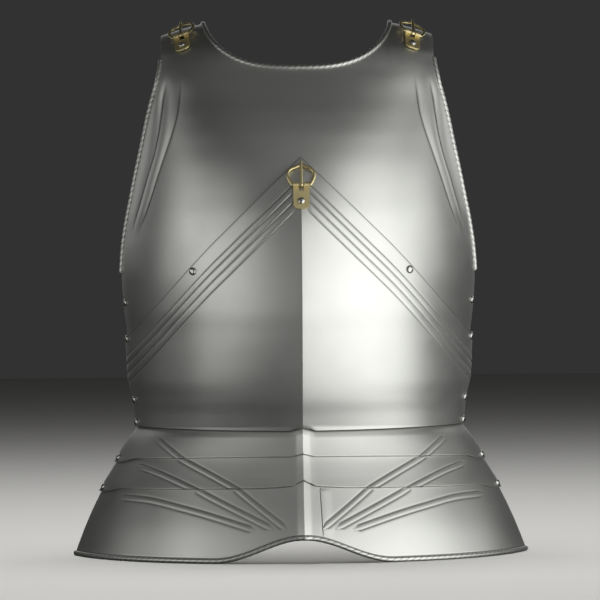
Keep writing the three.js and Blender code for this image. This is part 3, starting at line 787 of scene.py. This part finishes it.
def chest_top(place):
    """The highest v of each column: on the neck's curve, or at the end of the tab."""
    def above(v):
        at = chest_form(chest_u(place, v), v)
        return (np.abs(at[..., 0]) < NECK["half"] - 1) & (at[..., 2] > neck_z(at[..., 0]))
    low, high = np.full(place.shape, NECK["low"] - 20.0), np.full(place.shape, float(TAB_TOP))
    on_tab = ~above(high)
    for _ in range(40):
        middle = (low + high) / 2
        over = above(middle)
        high, low = np.where(over, middle, high), np.where(over, low, middle)
    return np.where(on_tab, TAB_TOP, low)


def chest_bottom(place):
    v = np.full(place.shape, float(CHEST_HEM["middle"]))
    for _ in range(8):
        v = CHEST_HEM["middle"] - CHEST_HEM["slope"] * chest_u(place, v) * along(TORSO, "half", v)
    return v


def arch_between(t):
    """A rounded flute between two crisp grooves, over t from 0 to 1."""
    return np.sin(np.pi * np.clip(t, 0, 1)) ** 1.2


def chest_points(plates):
    """Points of the chest plate's face, and how deep in a groove each one lies, which sets the shade
    painted into the grooves.
    """
    half_places = stations((0, 1, 61), (1, 2, 7), (2, 3, 18), (3, 4, 16))
    place = np.concatenate([half_places[:0:-1], half_places])
    sign = np.concatenate([-np.ones(len(half_places) - 1), np.ones(len(half_places))])
    low, high = chest_bottom(place), chest_top(place)
    level = np.linspace(0, 1, 150)[:, None]
    v = low + (high - low) * level
    u = sign * chest_u(place, v)
    fade = smooth(ARM_FADE["start"], ARM_FADE["full"], v)
    fade = fade * smooth(ARM_FADE["gone"], ARM_FADE["fading"], v)
    arch = arch_between(place - 2) + OUTER_FLUTE * arch_between(place - 3)
    width = along(ARM_GROOVES, "outer", v)
    groove = sum(np.exp(-((place - k) * width / LINE_HALF) ** 2) for k in (2, 3))
    height = fade * (plates.arm_flute * arch - plates.cut * groove)
    # The grooves beside the arm get painted shade.
    return raised(chest_form, u, v, height), groove * fade


def on_chest(u, v):
    """A roll's middle line just off the chest plate's face, and the way that its top faces."""
    return raised(chest_form, u, v, ROLL_SEAT), normal_of(chest_form, u, v)


def neck_path():
    x = (NECK["half"] - NECK_ROLL_ROOM) * np.sin(np.linspace(-1, 1, 400) * np.pi / 2)
    v = np.full(x.shape, float(NECK["low"]))
    for _ in range(30):
        u = x / along(TORSO, "half", v)
        v = np.minimum(TAB_TOP, neck_z(x) + along(TORSO, "drop", v) * u * u)
    return on_chest(u, v)


def arm_path(side):
    return on_chest(float(side), np.linspace(ARMPIT, ARM_ROLL_TOP, 300))


class BREASTPLATE_OT_chest(bpy.types.Operator):
    """Forms the chest plate with its flutes, and ropes its neck and arm rims"""

    bl_idname = "breastplate.chest"
    bl_label = "Chest plate"

    def execute(self, context):
        made = context.scene.breastplate
        steel = satin_steel(made.finish)
        plates, rolls = in_mm(made.plates), in_mm(made.rolls)
        points, groove = chest_points(plates)
        chest = sheet_metal("chest_sheet", points, plates.sheet, keeled=False, recess=groove)
        finish_piece(chest, "cuirass", steel, ["chest_plate"])
        rims = [
            ("neck_rope", neck_path(), 1),
            ("left_arm_rope", arm_path(-1), -1),
            ("right_arm_rope", arm_path(1), 1),
        ]
        for name, (path, up), hand in rims:
            rim = roped_roll(name, path, up, rolls.rim, rolls.rim_pitch, rolls.cut, hand)
            finish_piece(rim, "cuirass", steel)
        return {"FINISHED"}


# ---- plackart
def even_columns(width, spacing):
    """Shares of the half width from side to side, for a plate's width and its columns' spacing."""
    count = int(width / 2 / spacing)
    return np.linspace(-1, 1, 2 * count + 1)


def flute_profile(below):
    """Height share of the three flutes, and closeness to a groove, at a distance below the edge."""
    height, groove = np.zeros_like(below), np.zeros_like(below)
    for start, end in zip(VEE_LINES, VEE_LINES[1:]):
        inside = (below >= start) & (below <= end)
        height = np.where(inside, arch_between((below - start) / (end - start)), height)
    for at in VEE_LINES:
        groove = groove + np.exp(-((below - at) / LINE_HALF) ** 2)
    return height, groove


def plackart_points(plates):
    """Points of the plackart's face, its rows level with the waist below and the V above."""
    u = even_columns(width=345, spacing=2.0)
    # Rows below the edge: its rounding, the plain band and the flutes.
    below = stations((0, 2, 3), (2, 18, 8), (18, 49.5, 93))[::-1, None]
    v_fluted = vee_at(u[None, :], below)
    flutes_end = v_fluted[0]
    share = np.linspace(1, 0, 60)[:-1, None]
    v = np.concatenate([flutes_end + (waist_at(u) - flutes_end) * share, v_fluted])
    past_flutes = np.full(share.shape, VEE_LINES[-1] + 12.5)  # far enough for no groove to show
    below = np.concatenate([past_flutes, below])
    x = u * along(TORSO, "half", v)
    arch, groove = flute_profile(np.broadcast_to(below, v.shape))
    clear = smooth(4, 8.5, np.abs(x))  # flat steel under the buckle's plate
    height = PLACKART_RISE + clear * (plates.flute * arch - plates.cut * groove)
    edge = np.exp(-(below / VEE_EDGE_SHADOW) ** 2)  # painted shadow along the plate's upper edge, where it stands off the chest
    # The flutes' grooves get painted shade, and the upper edge a painted shadow line.
    return raised(plackart_form, u, v, height), VEE_GROOVE_SHADE * groove * clear + edge


class BREASTPLATE_OT_plackart(bpy.types.Operator):
    """Forms the pointed plackart with its keel and three flutes"""

    bl_idname = "breastplate.plackart"
    bl_label = "Plackart"

    def execute(self, context):
        made = context.scene.breastplate
        plates = in_mm(made.plates)
        points, groove = plackart_points(plates)
        plackart = sheet_metal("plackart_sheet", points, plates.sheet, recess=groove)
        finish_piece(plackart, "cuirass", satin_steel(made.finish), ["plackart"])
        return {"FINISHED"}


# ---- fauld
def through(points, count=80):
    """A smooth curve through a few points, by Catmull and Rom's rule."""
    p = np.array(points, float)
    p = np.concatenate([[2 * p[0] - p[1]], p, [2 * p[-1] - p[-2]]])
    made = []
    for i in range(1, len(p) - 2):
        t = np.linspace(0, 1, count)[:, None]
        made.append(0.5 * (
            2 * p[i] + (p[i + 1] - p[i - 1]) * t
            + (2 * p[i - 1] - 5 * p[i] + 4 * p[i + 1] - p[i + 2]) * t ** 2
            + (3 * p[i] - p[i - 1] - 3 * p[i + 1] + p[i + 2]) * t ** 3))
    return np.concatenate(made)


# A fauld's rib: its share of the full size at its ends, the length over which it grows from there,
# how crisp its crest is, and the incised line at its foot, as shares of its half width.
RIB = {"end": 0.4, "taper": 6, "crest": 1.6, "foot": 1.05, "foot_half": 0.27}
# How dark the shade painted into the line at a rib's foot is, and the fainter painted shade over the
# rib.
RIB_SHADE = {"foot": 0.95, "crest": 0.25}


def rib_relief(x, v, routes, half):
    """Height share of the ribs at each point, and closeness to the line at a rib's foot."""
    height, foot = np.zeros_like(x), np.zeros_like(x)
    for route in routes:
        curve = through(route)
        at = lengths_along(curve)
        gaps = np.hypot(np.abs(x)[..., None] - curve[:, 0], v[..., None] - curve[:, 1])
        nearest = gaps.argmin(-1)
        distance = gaps.min(-1) / half
        from_end = np.minimum(at[nearest], at[-1] - at[nearest])
        taper = RIB["end"] + (1 - RIB["end"]) * smooth(0, RIB["taper"], from_end)
        distance = distance / taper
        body = np.cos(np.clip(distance, 0, 1) * np.pi / 2) ** RIB["crest"]
        line = np.exp(-((distance - RIB["foot"]) / RIB["foot_half"]) ** 2)
        height = np.maximum(height, body * taper)
        foot = np.maximum(foot, line * taper)
    return height, foot


def lame_points(plates, u, v, rise, routes, line, extra=None):
    """One lame's face: its ribs stand up from it, and stop short of the plate over it."""
    grid_u = np.broadcast_to(u, v.shape)
    x = grid_u * along(SKIRT, "half", v)
    height, foot = rib_relief(x, v, routes, plates.rib_half)
    shown = smooth(-0.3, 1.8, line(grid_u) - v)
    relief = shown * (plates.rib * height - plates.cut * foot)
    # Shade is painted into the line at each rib's foot and, fainter, over the rib.
    recess = shown * (RIB_SHADE["foot"] * foot + RIB_SHADE["crest"] * height)
    if extra is not None:
        more, more_recess = extra(grid_u, v)
        relief, recess = relief + more, np.maximum(recess, more_recess)
    return raised(skirt_form, grid_u, v, rise(grid_u, v) + relief), recess


def rows_between(low, high, count):
    """Heights of rows between two lines across the front, without the last one."""
    share = np.linspace(0, 1, count + 1)[:-1, None]
    return low + (high - low) * share


def waist_points(plates):
    u = even_columns(width=372, spacing=1.3)
    low, top = middle_at(u) - lobe_at(u), waist_at(u)
    v = np.concatenate([rows_between(low, top, 46), top[None]])
    points, recess = lame_points(plates, u, v, waist_rise, WAIST_RIBS, waist_at)
    recess = np.maximum(recess, np.exp(-((top - v) / 1.7) ** 2))  # painted shadow under the plackart's edge
    # The lame's upper end turns into a flange inside the plackart.
    crease = raised(plackart_form, u, top, -FLANGE_ROOM)
    turn = smooth(0.72, 1, (v - low) / (top - low))[..., None]
    points = points + (crease - points[-1]) * turn
    flange_v = top + LAP * np.linspace(0, 1, 8)[1:, None]
    flange = raised(plackart_form, u, flange_v, -FLANGE_ROOM)
    recess = np.concatenate([recess, np.zeros(flange_v.shape)])
    return np.concatenate([points, flange]), recess


def middle_points(plates):
    u = even_columns(width=404, spacing=1.3)
    low, top = hem_at(u) - lobe_at(u), middle_at(u)
    v = np.concatenate([
        rows_between(low, top, 58), rows_between(top, top + LAP, 8), (top + LAP)[None]])
    return lame_points(plates, u, v, middle_rise, MIDDLE_RIBS, middle_at)


# The hem lame's short upright seam: its x at mid height, where half the lame's width is "half",
# its step, how gently it comes up from the roll, and where its finer columns lie.
LAP_SEAM = {"x": 17.6, "mid": 45.0, "half": 214, "step": 0.45, "rise": 14, "near": 1.6, "clear": 2}
INCISED = {"over": 3.1, "half": 0.55}  # the line over the hem's roll


def hem_points(plates):
    half, near = LAP_SEAM["half"], LAP_SEAM["near"]
    seam = LAP_SEAM["x"] / along(SKIRT, "half", LAP_SEAM["mid"])
    u = even_columns(width=456, spacing=1.4)
    others = u[np.abs(u - seam) > LAP_SEAM["clear"] / half]
    u = np.sort(np.concatenate([others, seam + np.linspace(-near, near, 11) / half]))
    low, top = bottom_at(u), hem_at(u)
    near_roll = low + np.arange(0, 8, 0.5)[:, None]
    v = np.concatenate([
        near_roll, rows_between(low + 8, top, 78), rows_between(top, top + LAP, 7),
        (top + LAP)[None]])

    def lines(grid_u, height_v):
        over_roll = height_v - bottom_at(grid_u)
        incised = np.exp(-((over_roll - INCISED["over"]) / INCISED["half"]) ** 2)
        # One side of the lame laps the other in a short upright seam.
        shown = smooth(0, LAP_SEAM["rise"], over_roll) * smooth(0, 5, hem_at(grid_u) - height_v)
        from_seam = (grid_u - seam) * along(SKIRT, "half", height_v)
        lapped = LAP_SEAM["step"] * smooth(-0.25, 0.25, from_seam) * smooth(12, 2, from_seam)
        cut = np.exp(-((from_seam + 0.35) / 0.4) ** 2) * shown
        relief = lapped * shown - plates.cut * incised - plates.cut * cut
        # Shade is painted into the incised line and the seam's cut.
        return relief, np.maximum(incised, cut)

    return lame_points(plates, u, v, hem_rise, HEM_RIBS, hem_at, lines)


def hem_path():
    u = np.sin(np.linspace(-1, 1, 700) * np.pi / 2)
    path = skirt_form(u, bottom_at(u))
    path[:, 2] += ROLL_SEAT
    return path, np.broadcast_to([0.0, 0, -1], path.shape)


class BREASTPLATE_OT_fauld(bpy.types.Operator):
    """Forms the three lames of the fauld with their ribs, and ropes the hem"""

    bl_idname = "breastplate.fauld"
    bl_label = "Fauld"

    def execute(self, context):
        made = context.scene.breastplate
        plates, rolls = in_mm(made.plates), in_mm(made.rolls)
        steel = satin_steel(made.finish)
        lames = [
            ("waist_sheet", waist_points, "cuirass", "waist_lame"),
            ("middle_sheet", middle_points, "middle", "middle_lame"),
            ("hem_sheet", hem_points, "hem", "hem_lame"),
        ]
        for name, shape, body, node in lames:
            points, recess = shape(plates)
            lame = sheet_metal(name, points, plates.sheet, recess=recess)
            finish_piece(lame, body, steel, [node])
        rope = roped_roll("hem_rope", *hem_path(), rolls.hem, rolls.hem_pitch, rolls.cut, 1)
        finish_piece(rope, "hem", steel)
        return {"FINISHED"}


# ---- rivets
def seat_matrix(at, normal, upward=(0, 0, 1)):
    """A place on the body whose Z stands out of the surface and whose Y points upwards."""
    z = Vector(normal).normalized()
    x = Vector(upward).cross(z).normalized()
    y = z.cross(x)
    return Matrix.Translation(Vector(at)) @ Matrix((x, y, z)).transposed().to_4x4()


def seat_on(form, u, v, rise):
    u, v = float(u), float(v)
    return seat_matrix(raised(form, u, v, rise), normal_of(form, u, v))


BAND_RIVET = {"x": 105, "v": 286.2}
DOME_STEPS = 9  # rings of faces from a rivet's brim to its crown


def rivet_seats():
    """Each rivet's node, its body and its place."""
    made = []
    for side, word in ((-1, "left"), (1, "right")):
        u = side * SIDE_RIVET_COLUMN
        places = [
            ("chest_rivet", "cuirass", seat_on(chest_form, u, 256, 0)),
            ("plackart_upper_rivet", "cuirass", seat_on(chest_form, u, 219.5, PLACKART_RISE)),
            ("plackart_lower_rivet", "cuirass", seat_on(chest_form, u, 158, PLACKART_RISE)),
            ("waist_rivet", "cuirass", seat_on(chest_form, u, 135, PLACKART_RISE)),
            ("middle_rivet", "cuirass", seat_on(skirt_form, u, 99.5, waist_rise(u, 99.5))),
            ("hem_rivet", "middle", seat_on(skirt_form, u, 70, middle_rise(u, 70))),
        ]
        v = BAND_RIVET["v"]
        band_u = side * BAND_RIVET["x"] / along(TORSO, "half", v)
        places.append(("band_rivet", "cuirass", seat_on(chest_form, band_u, v, PLACKART_RISE)))
        made += [(f"{name}_{word}", body, where) for name, body, where in places]
    return made


def rivet_form(name, rivets, grip):
    """A domed head over a shank, and a low peened tail behind the plates that it grips."""
    head, tail, shank = rivets.head, rivets.tail, rivets.shank
    foot = 0.12  # the head's rim stands just off the plate
    brim = foot + 0.25  # the head's short upright edge ends here and its dome begins
    outline = [(0.4, -grip - 1), (tail * 0.7, -grip - 0.8), (tail, -grip), (shank, -grip)]
    outline += [(shank, foot), (head * 0.94, foot), (head, brim)]
    for step in range(1, DOME_STEPS):
        angle = step / DOME_STEPS * math.pi / 2
        outline.append((head * math.cos(angle), brim + (rivets.rise - 0.1) * math.sin(angle)))
    outline.append((0.15, foot + rivets.rise + 0.15))
    obj = turned(name, outline)
    shade(obj, 50)
    return obj


class BREASTPLATE_OT_rivets(bpy.types.Operator):
    """Sets the domed rivets of the sides and of the plackart's band"""

    bl_idname = "breastplate.rivets"
    bl_label = "Rivets"

    def execute(self, context):
        made = context.scene.breastplate
        steel = rivet_steel(made.finish)
        pattern = rivet_form("rivet_pattern", in_mm(made.rivets), grip=4.2)
        for name, body, where in rivet_seats():
            rivet = copy_of(pattern, name.replace("rivet", "stud"))
            finish_piece(rivet, body, steel, [name], where)
        bpy.data.objects.remove(pattern)
        return {"FINISHED"}


# ---- buckles
# The bar that a frame turns on: its place over the plate, and the eye folded round it.
BAR = {"from_rivet": 16.2, "height": 2.7, "radius": 1.2, "eye": 2.5, "play": 0.3, "half": 0.63}
NOTCH = {"width": 5, "depth": 6}  # in the plate's upper edge, for the tongue's curl
BUCKLE_BASE = 0.6  # a plate's underside over the steel
SHOULDER_U, SHOULDER_V = 0.838, 521.5  # a shoulder buckle's rivet on the chest plate's tab
FRAME_LEAN = math.radians(-4)
FRAME_LIMB, FRAME_THICK, FRAME_POINT = 3, 2.4, 2
# A tongue: the radius of its curl, its reach, its thickness in the curl and what it gains beyond,
# and the shares by which it narrows and is hammered flat towards its tip.
TONGUE = {
    "curl": 1.95, "reach": 25.9, "thick": 0.45, "swell": 0.22, "narrowing": 0.32, "flat": 0.35}


def buckle_seat(form, u, v, rise, back, ahead):
    """The plane of a buckle: through its rivet, along its plate's middle line."""
    low, high = raised(form, u, v - back, rise), raised(form, u, v + ahead, rise)
    up = Vector(high - low).normalized()
    normal = Vector(normal_of(form, u, v))
    normal = (normal - normal.dot(up) * up).normalized()
    at = Vector(raised(form, u, v, rise)) + BUCKLE_BASE * normal
    return seat_matrix(at, normal, up)


def buckle_seats():
    return {
        "centre": buckle_seat(plackart_form, 0.0, 352.0, PLACKART_RISE, back=6, ahead=16),
        "left_shoulder": buckle_seat(chest_form, -SHOULDER_U, SHOULDER_V, 0, back=6, ahead=12),
        "right_shoulder": buckle_seat(chest_form, SHOULDER_U, SHOULDER_V, 0, back=6, ahead=12),
    }


def buckle_plate(buckles):
    """A strip of brass folded round the bar, notched for the tongue, with two rounded corners."""
    half, bar = buckles.width / 2, BAR["from_rivet"]
    low = bar - buckles.length
    obj = block("buckle_plate_pattern", (-half, low, 0), (half, bar, buckles.thick))

    def lower_corner(edge):
        a, b = (obj.data.vertices[i].co for i in edge.vertices)
        return max(abs(a.y - low), abs(b.y - low)) < 1e-3 and abs(a.z - b.z) > buckles.thick / 2

    select_where(obj, "EDGE", lower_corner)
    bpy.ops.mesh.bevel(offset=buckles.corner, segments=9, affect="EDGES")
    bpy.ops.object.mode_set(mode="OBJECT")
    notch = NOTCH["width"] / 2
    for start, end in ((-half, -notch), (notch, half)):
        eye = bar_across("eye", start, end, (bar, BAR["height"]), BAR["eye"])
        combine(obj, eye, "UNION")
    cut = block("notch", (-notch, bar - NOTCH["depth"], -2), (notch, bar + 4, 8))
    combine(obj, cut, "DIFFERENCE")
    bore = bar_across("bore", -half - 2, half + 2, (bar, BAR["height"]), BAR["radius"] + BAR["play"])
    combine(obj, bore, "DIFFERENCE")
    ease_edges(obj, width=0.28, segments=3, degrees=40)
    clean_normals(obj)
    shade(obj, 35)
    return obj


def bezier(a, b, c, d, t):
    return a * (1 - t) ** 3 + 3 * b * t * (1 - t) ** 2 + 3 * c * t ** 2 * (1 - t) + d * t ** 3


def loop_outline(w, top, low, tip):
    """Half of the frame's outline, from the bar's level up to the point."""
    t = np.linspace(0, 1, 30)[:, None]
    points = [(-w * 0.66, low), (-w, low + 7), (-w * 1.25, top * 0.8), (-w * 0.4, top - 1)]
    curve = bezier(*[np.array(p, float) for p in points], t)
    rise = np.linspace(0, 1, 9)[1:, None]
    end = curve[-1] + (np.array([0.0, top + tip]) - curve[-1]) * rise
    return np.concatenate([curve, end])


def buckle_frame(buckles):
    """The D-shaped loop with a slight point, of rounded section, and its bar."""
    half, top = buckles.frame_width / 2, buckles.frame_rise - FRAME_POINT
    outer = loop_outline(half, top, -BAR["radius"], FRAME_POINT)
    inner = loop_outline(half - FRAME_LIMB, top - FRAME_LIMB, 1.6, FRAME_POINT * 0.8)
    outer, inner = (np.concatenate([line, line[-2::-1] * [-1, 1]]) for line in (outer, inner))
    middle, reach = (outer + inner) / 2, (outer - inner) / 2
    _, cosine, sine = section(18, power=0.8)
    flat = middle[:, None] + reach[:, None] * cosine[None, :, None]
    height = np.broadcast_to(FRAME_THICK / 2 * sine, flat.shape[:2])
    rings = np.concatenate([flat, height[..., None]], -1)
    ends = [np.broadcast_to(ring.mean(0), ring.shape) for ring in (rings[0], rings[-1])]
    rings = np.concatenate([ends[0][None], rings, ends[1][None]])
    obj = closed_sweep("buckle_frame_pattern", rings)
    rod_half = half * BAR["half"]
    rod = bar_across("rod", -rod_half, rod_half, (0, 0), BAR["radius"], 24)
    combine(obj, rod, "UNION")
    shade(obj, 45)
    return obj


def tongue_path():
    """From a curl round the bar, out over the frame's far end: the middle line, in Y and Z."""
    angle = np.linspace(math.radians(-60), math.radians(-265), 26)
    curl = TONGUE["curl"] * np.stack([np.cos(angle), np.sin(angle)], 1)[::3]
    line = np.array(
        [[1.2, 2.1], [8, 2.2], [14, 2.2], [18.5, 2.15], [22, 2.05], [TONGUE["reach"], 1.95]])
    return curl, line


def buckle_tongue(buckles):
    """A tapering wire, curled round the bar and hammered flat where it rests on the frame."""
    (curl, line), steps = tongue_path(), 6
    path = through(np.concatenate([curl, line]), steps)
    path = np.stack([np.zeros(len(path)), *path.T], 1)
    at = lengths_along(path)
    wide = buckles.tongue / 2 * (1 - TONGUE["narrowing"] * smooth(at[-1] * 0.55, at[-1], at))
    curl_length = at[len(curl) * steps]
    thick = TONGUE["thick"] + TONGUE["swell"] * smooth(curl_length, curl_length + 4, at)
    thick = thick * (1 - TONGUE["flat"] * smooth(at[-1] - 6, at[-1], at))  # hammered at its tip
    _, cosine, sine = section(16, power=0.75)
    tip = rounded_ends(at, 1.0)
    across = np.broadcast_to([1.0, 0, 0], path.shape)
    rings = rings_along(path, across, (wide * tip)[:, None] * cosine, (thick * tip)[:, None] * sine)
    obj = closed_sweep("buckle_tongue_pattern", rings)
    shade(obj, 45)
    return obj


class BREASTPLATE_OT_buckles(bpy.types.Operator):
    """Makes the three brass strap buckles, each with its plate, frame, tongue and steel rivet"""

    bl_idname = "breastplate.buckles"
    bl_label = "Buckles"

    def execute(self, context):
        made = context.scene.breastplate
        brass, steel = yellow_brass(made.finish), rivet_steel(made.finish)
        strip = dull_brass(made.finish)
        buckles, rivets = in_mm(made.buckles), in_mm(made.rivets)
        flat = Matrix.Identity(4)
        hinge = Matrix.Translation((0, BAR["from_rivet"], BAR["height"]))
        lean = hinge @ Matrix.Rotation(FRAME_LEAN, 4, "X")
        # A buckle's rivet has a slightly smaller head than the plates' rivets.
        on_plate = Matrix.Translation((0, 0, buckles.thick)) @ Matrix.Diagonal((0.88, 0.88, 1, 1))
        rivet = rivet_form("buckle_rivet_pattern", rivets, grip=5.8)
        parts = [
            ("plate", buckle_plate(buckles), flat, "cuirass", strip, "buckle_brass"),
            ("frame", buckle_frame(buckles), lean, "{}_frame", brass, "buckle_brass"),
            ("tongue", buckle_tongue(buckles), lean, "{}_tongue", brass, "buckle_brass"),
            ("rivet", rivet, on_plate, "cuirass", steel, "rivet_steel"),
        ]
        for place, seat in buckle_seats().items():
            for part, pattern, within, body, material, slot in parts:
                piece = copy_of(pattern, f"{place}_strap_{part}")
                node = f"{place}_buckle_{part}"
                finish_piece(piece, body.format(place), material, [node], seat @ within)
        for _, pattern, *_ in parts:
            bpy.data.objects.remove(pattern)
        return {"FINISHED"}


# ---- stage
# How fast a softbox's glow falls from its middle to its edges, and how much its middle glows.
SOFT_EDGE = {"fall": 0.6, "peak": 1.25}


def soften_edges(light):
    """A softbox's cloth dims from its middle to its edges, so the metal mirrors no hard edge."""
    light.use_nodes = True
    tree = light.node_tree
    place = add_node(tree, "NewGeometry").outputs["Parametric"]
    rest = add_node(tree, "VectorMath", {0: (1, 1, 1)}, {1: place}, operation="SUBTRACT")
    # From each pair of edges inwards: 1/4 in the middle, so 1/16 for both pairs together.
    pairs = add_node(
        tree, "VectorMath", links={0: place, 1: rest.outputs[0]}, operation="MULTIPLY")
    pairs = add_node(tree, "SeparateXYZ", links={0: pairs.outputs[0]})
    inwards = add_node(
        tree, "Math", links={0: pairs.outputs["X"], 1: pairs.outputs["Y"]}, operation="MULTIPLY")
    fall = add_node(
        tree, "Math", {1: SOFT_EDGE["fall"]}, {0: inwards.outputs[0]}, operation="POWER")
    full = SOFT_EDGE["peak"] * 16 ** SOFT_EDGE["fall"]
    glow = add_node(tree, "Math", {1: full}, {0: fall.outputs[0]}, operation="MULTIPLY")
    tree.links.new(glow.outputs[0], tree.nodes["Emission"].inputs["Strength"])


def softbox(name, place, target, size, power, roll=0, in_metal=True):
    """A large soft area light aimed at a point: the metal mirrors it, or it lights the floor."""
    deselect_all()
    bpy.ops.object.light_add(type="AREA", location=place)
    lamp = bpy.context.object
    lamp.name = name
    lamp.data.shape = "RECTANGLE"
    lamp.data.size, lamp.data.size_y = size
    lamp.data.energy = power
    lamp.visible_glossy, lamp.visible_diffuse, lamp.visible_camera = in_metal, not in_metal, False
    lamp.rotation_euler = aimed(Vector(target) - Vector(place), math.radians(roll))
    if in_metal:
        soften_edges(lamp.data)


def aimed(ahead, roll):
    """The turn of a camera or light that looks ahead, with its top rolled to its right."""
    turn = ahead.to_track_quat("-Z", "Y").to_matrix()
    return (turn @ Matrix.Rotation(-roll, 3, "Z")).to_euler()


def round_the_part(azimuth, elevation, distance, middle):
    """A place at an angle to the right of the front and above the level of the middle."""
    a, e = math.radians(azimuth), math.radians(elevation)
    away = Vector((math.sin(a) * math.cos(e), -math.cos(a) * math.cos(e), math.sin(e)))
    return middle + distance * away


# Softboxes: degrees to the right and upwards from the part's middle, distance from it, width,
# height, degrees its top leans to the right, and glow as a share of the stage's own.
SOFTBOXES = table(
    "azimuth elevation distance width height roll glow",
    (46.5, -11, 0.59, 0.96, 1, 10, 1.04),
    (56, 34, 0.8, 0.8, 0.46, 0, 0.36),
    (93, 9.5, 3, 2, 0.85, 0, 1.0),
    (132, 21, 0.65, 0.3, 0.25, 0, 0.6),
    (-52.5, -4, 0.575, 0.48, 0.6, -14, 0.55),
    (-84, 8, 3, 1.95, 1.15, 0, 0.66),
    (-132, 17, 0.64, 0.3, 0.3, 0, 0.25),
    (0, 45, 1.5, 2.3, 1.7, 0, 0.07),
    (180, 15, 1.5, 1.6, 1.2, 0, 0.4),
)


FLOOR_RADIUS = 9
FLOOR_LIGHT = {"above": 2.2, "size": 2.2}
AIM_DEPTH = 0.025  # the camera looks at a point this far behind the part's middle


def lay_floor(finish):
    bpy.ops.mesh.primitive_circle_add(
        vertices=96, radius=FLOOR_RADIUS, fill_type="NGON", location=(0, 0, 0))
    floor = fresh("studio_floor")
    paper = empty_material("Matt floor paper")
    shader = add_node(
        paper.node_tree, "BsdfPrincipled",
        {"Base Color": opaque(finish.floor), "Roughness": 0.85, "Specular IOR Level": 0})
    add_node(paper.node_tree, "OutputMaterial", links={"Surface": shader.outputs["BSDF"]})
    floor.data.materials.append(paper)
    # The steel mirrors the softboxes alone, also those that stand lower than the floor.
    floor.visible_glossy = floor.visible_shadow = False
    floor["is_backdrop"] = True


def darken_studio(scene, finish):
    scene.world = bpy.data.worlds.new("Dark studio")
    scene.world.use_nodes = True
    tree = scene.world.node_tree
    tree.nodes.clear()
    back = add_node(tree, "Background", {"Color": opaque(finish.surround), "Strength": 1})
    add_node(tree, "OutputWorld", links={"Surface": back.outputs[0]})


def light_part(stage):
    low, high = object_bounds()
    middle = (low + high) / 2
    for row in zip(*SOFTBOXES.values()):
        azimuth, elevation, distance, width, height, roll, glow = map(float, row)
        place = round_the_part(azimuth, elevation, distance, middle)
        power = stage.glow * glow * width * height
        softbox("softbox", place, middle, (width, height), power, roll)
    overhead = middle + Vector((0, 0, FLOOR_LIGHT["above"]))
    size = (FLOOR_LIGHT["size"], FLOOR_LIGHT["size"])
    softbox("floor_light", overhead, middle, size, stage.top, in_metal=False)


def place_camera(scene, stage):
    target = Vector((0, AIM_DEPTH, stage.height))
    back = stage.distance * Vector((-math.sin(stage.turn), -math.cos(stage.turn), 0))
    deselect_all()
    bpy.ops.object.camera_add(location=target + back)
    scene.camera = bpy.context.object
    scene.camera.name = "studio_camera"
    scene.camera.data.lens = stage.lens
    scene.camera.data.sensor_width = 36
    scene.camera.rotation_euler = aimed(-back, stage.tilt)


class BREASTPLATE_OT_stage(bpy.types.Operator):
    """Sets up the pale floor, the softboxes and the camera"""

    bl_idname = "breastplate.stage"
    bl_label = "Stage"

    def execute(self, context):
        made = context.scene.breastplate
        deselect_all()
        lay_floor(made.finish)
        darken_studio(context.scene, made.finish)
        light_part(made.stage)
        place_camera(context.scene, made.stage)
        context.scene.view_settings.view_transform = "Standard"
        return {"FINISHED"}


# ---- add-on
OPERATORS = (
    BREASTPLATE_OT_chest,
    BREASTPLATE_OT_plackart,
    BREASTPLATE_OT_fauld,
    BREASTPLATE_OT_rivets,
    BREASTPLATE_OT_buckles,
    BREASTPLATE_OT_stage,
)


class BREASTPLATE_PT_panel(bpy.types.Panel):
    """The breastplate's pieces, in the order they are made"""

    bl_idname = "BREASTPLATE_PT_panel"
    bl_label = "Breastplate"
    bl_space_type = "VIEW_3D"
    bl_region_type = "UI"
    bl_category = "Breastplate"

    def draw(self, context):
        for operator in OPERATORS:
            self.layout.operator(operator.bl_idname)
        made = context.scene.breastplate
        for group in (made.plates, made.rolls, made.rivets, made.buckles, made.finish, made.stage):
            box = self.layout.box()
            for name in names_in(group):
                box.prop(group, name)


CLASSES = (
    PlateSettings,
    RollSettings,
    RivetSettings,
    BuckleSettings,
    FinishSettings,
    StageSettings,
    BreastplateSettings,
    *OPERATORS,
    BREASTPLATE_PT_panel,
)


def register():
    for kind in CLASSES:
        bpy.utils.register_class(kind)
    bpy.types.Scene.breastplate = bpy.props.PointerProperty(type=BreastplateSettings)


def unregister():
    del bpy.types.Scene.breastplate
    for kind in reversed(CLASSES):
        bpy.utils.unregister_class(kind)


def main():
    register()
    bpy.ops.breastplate.chest()
    bpy.ops.breastplate.plackart()
    bpy.ops.breastplate.fauld()
    bpy.ops.breastplate.rivets()
    bpy.ops.breastplate.buckles()
    bpy.ops.breastplate.stage()


if __name__ == "__main__":
    main()
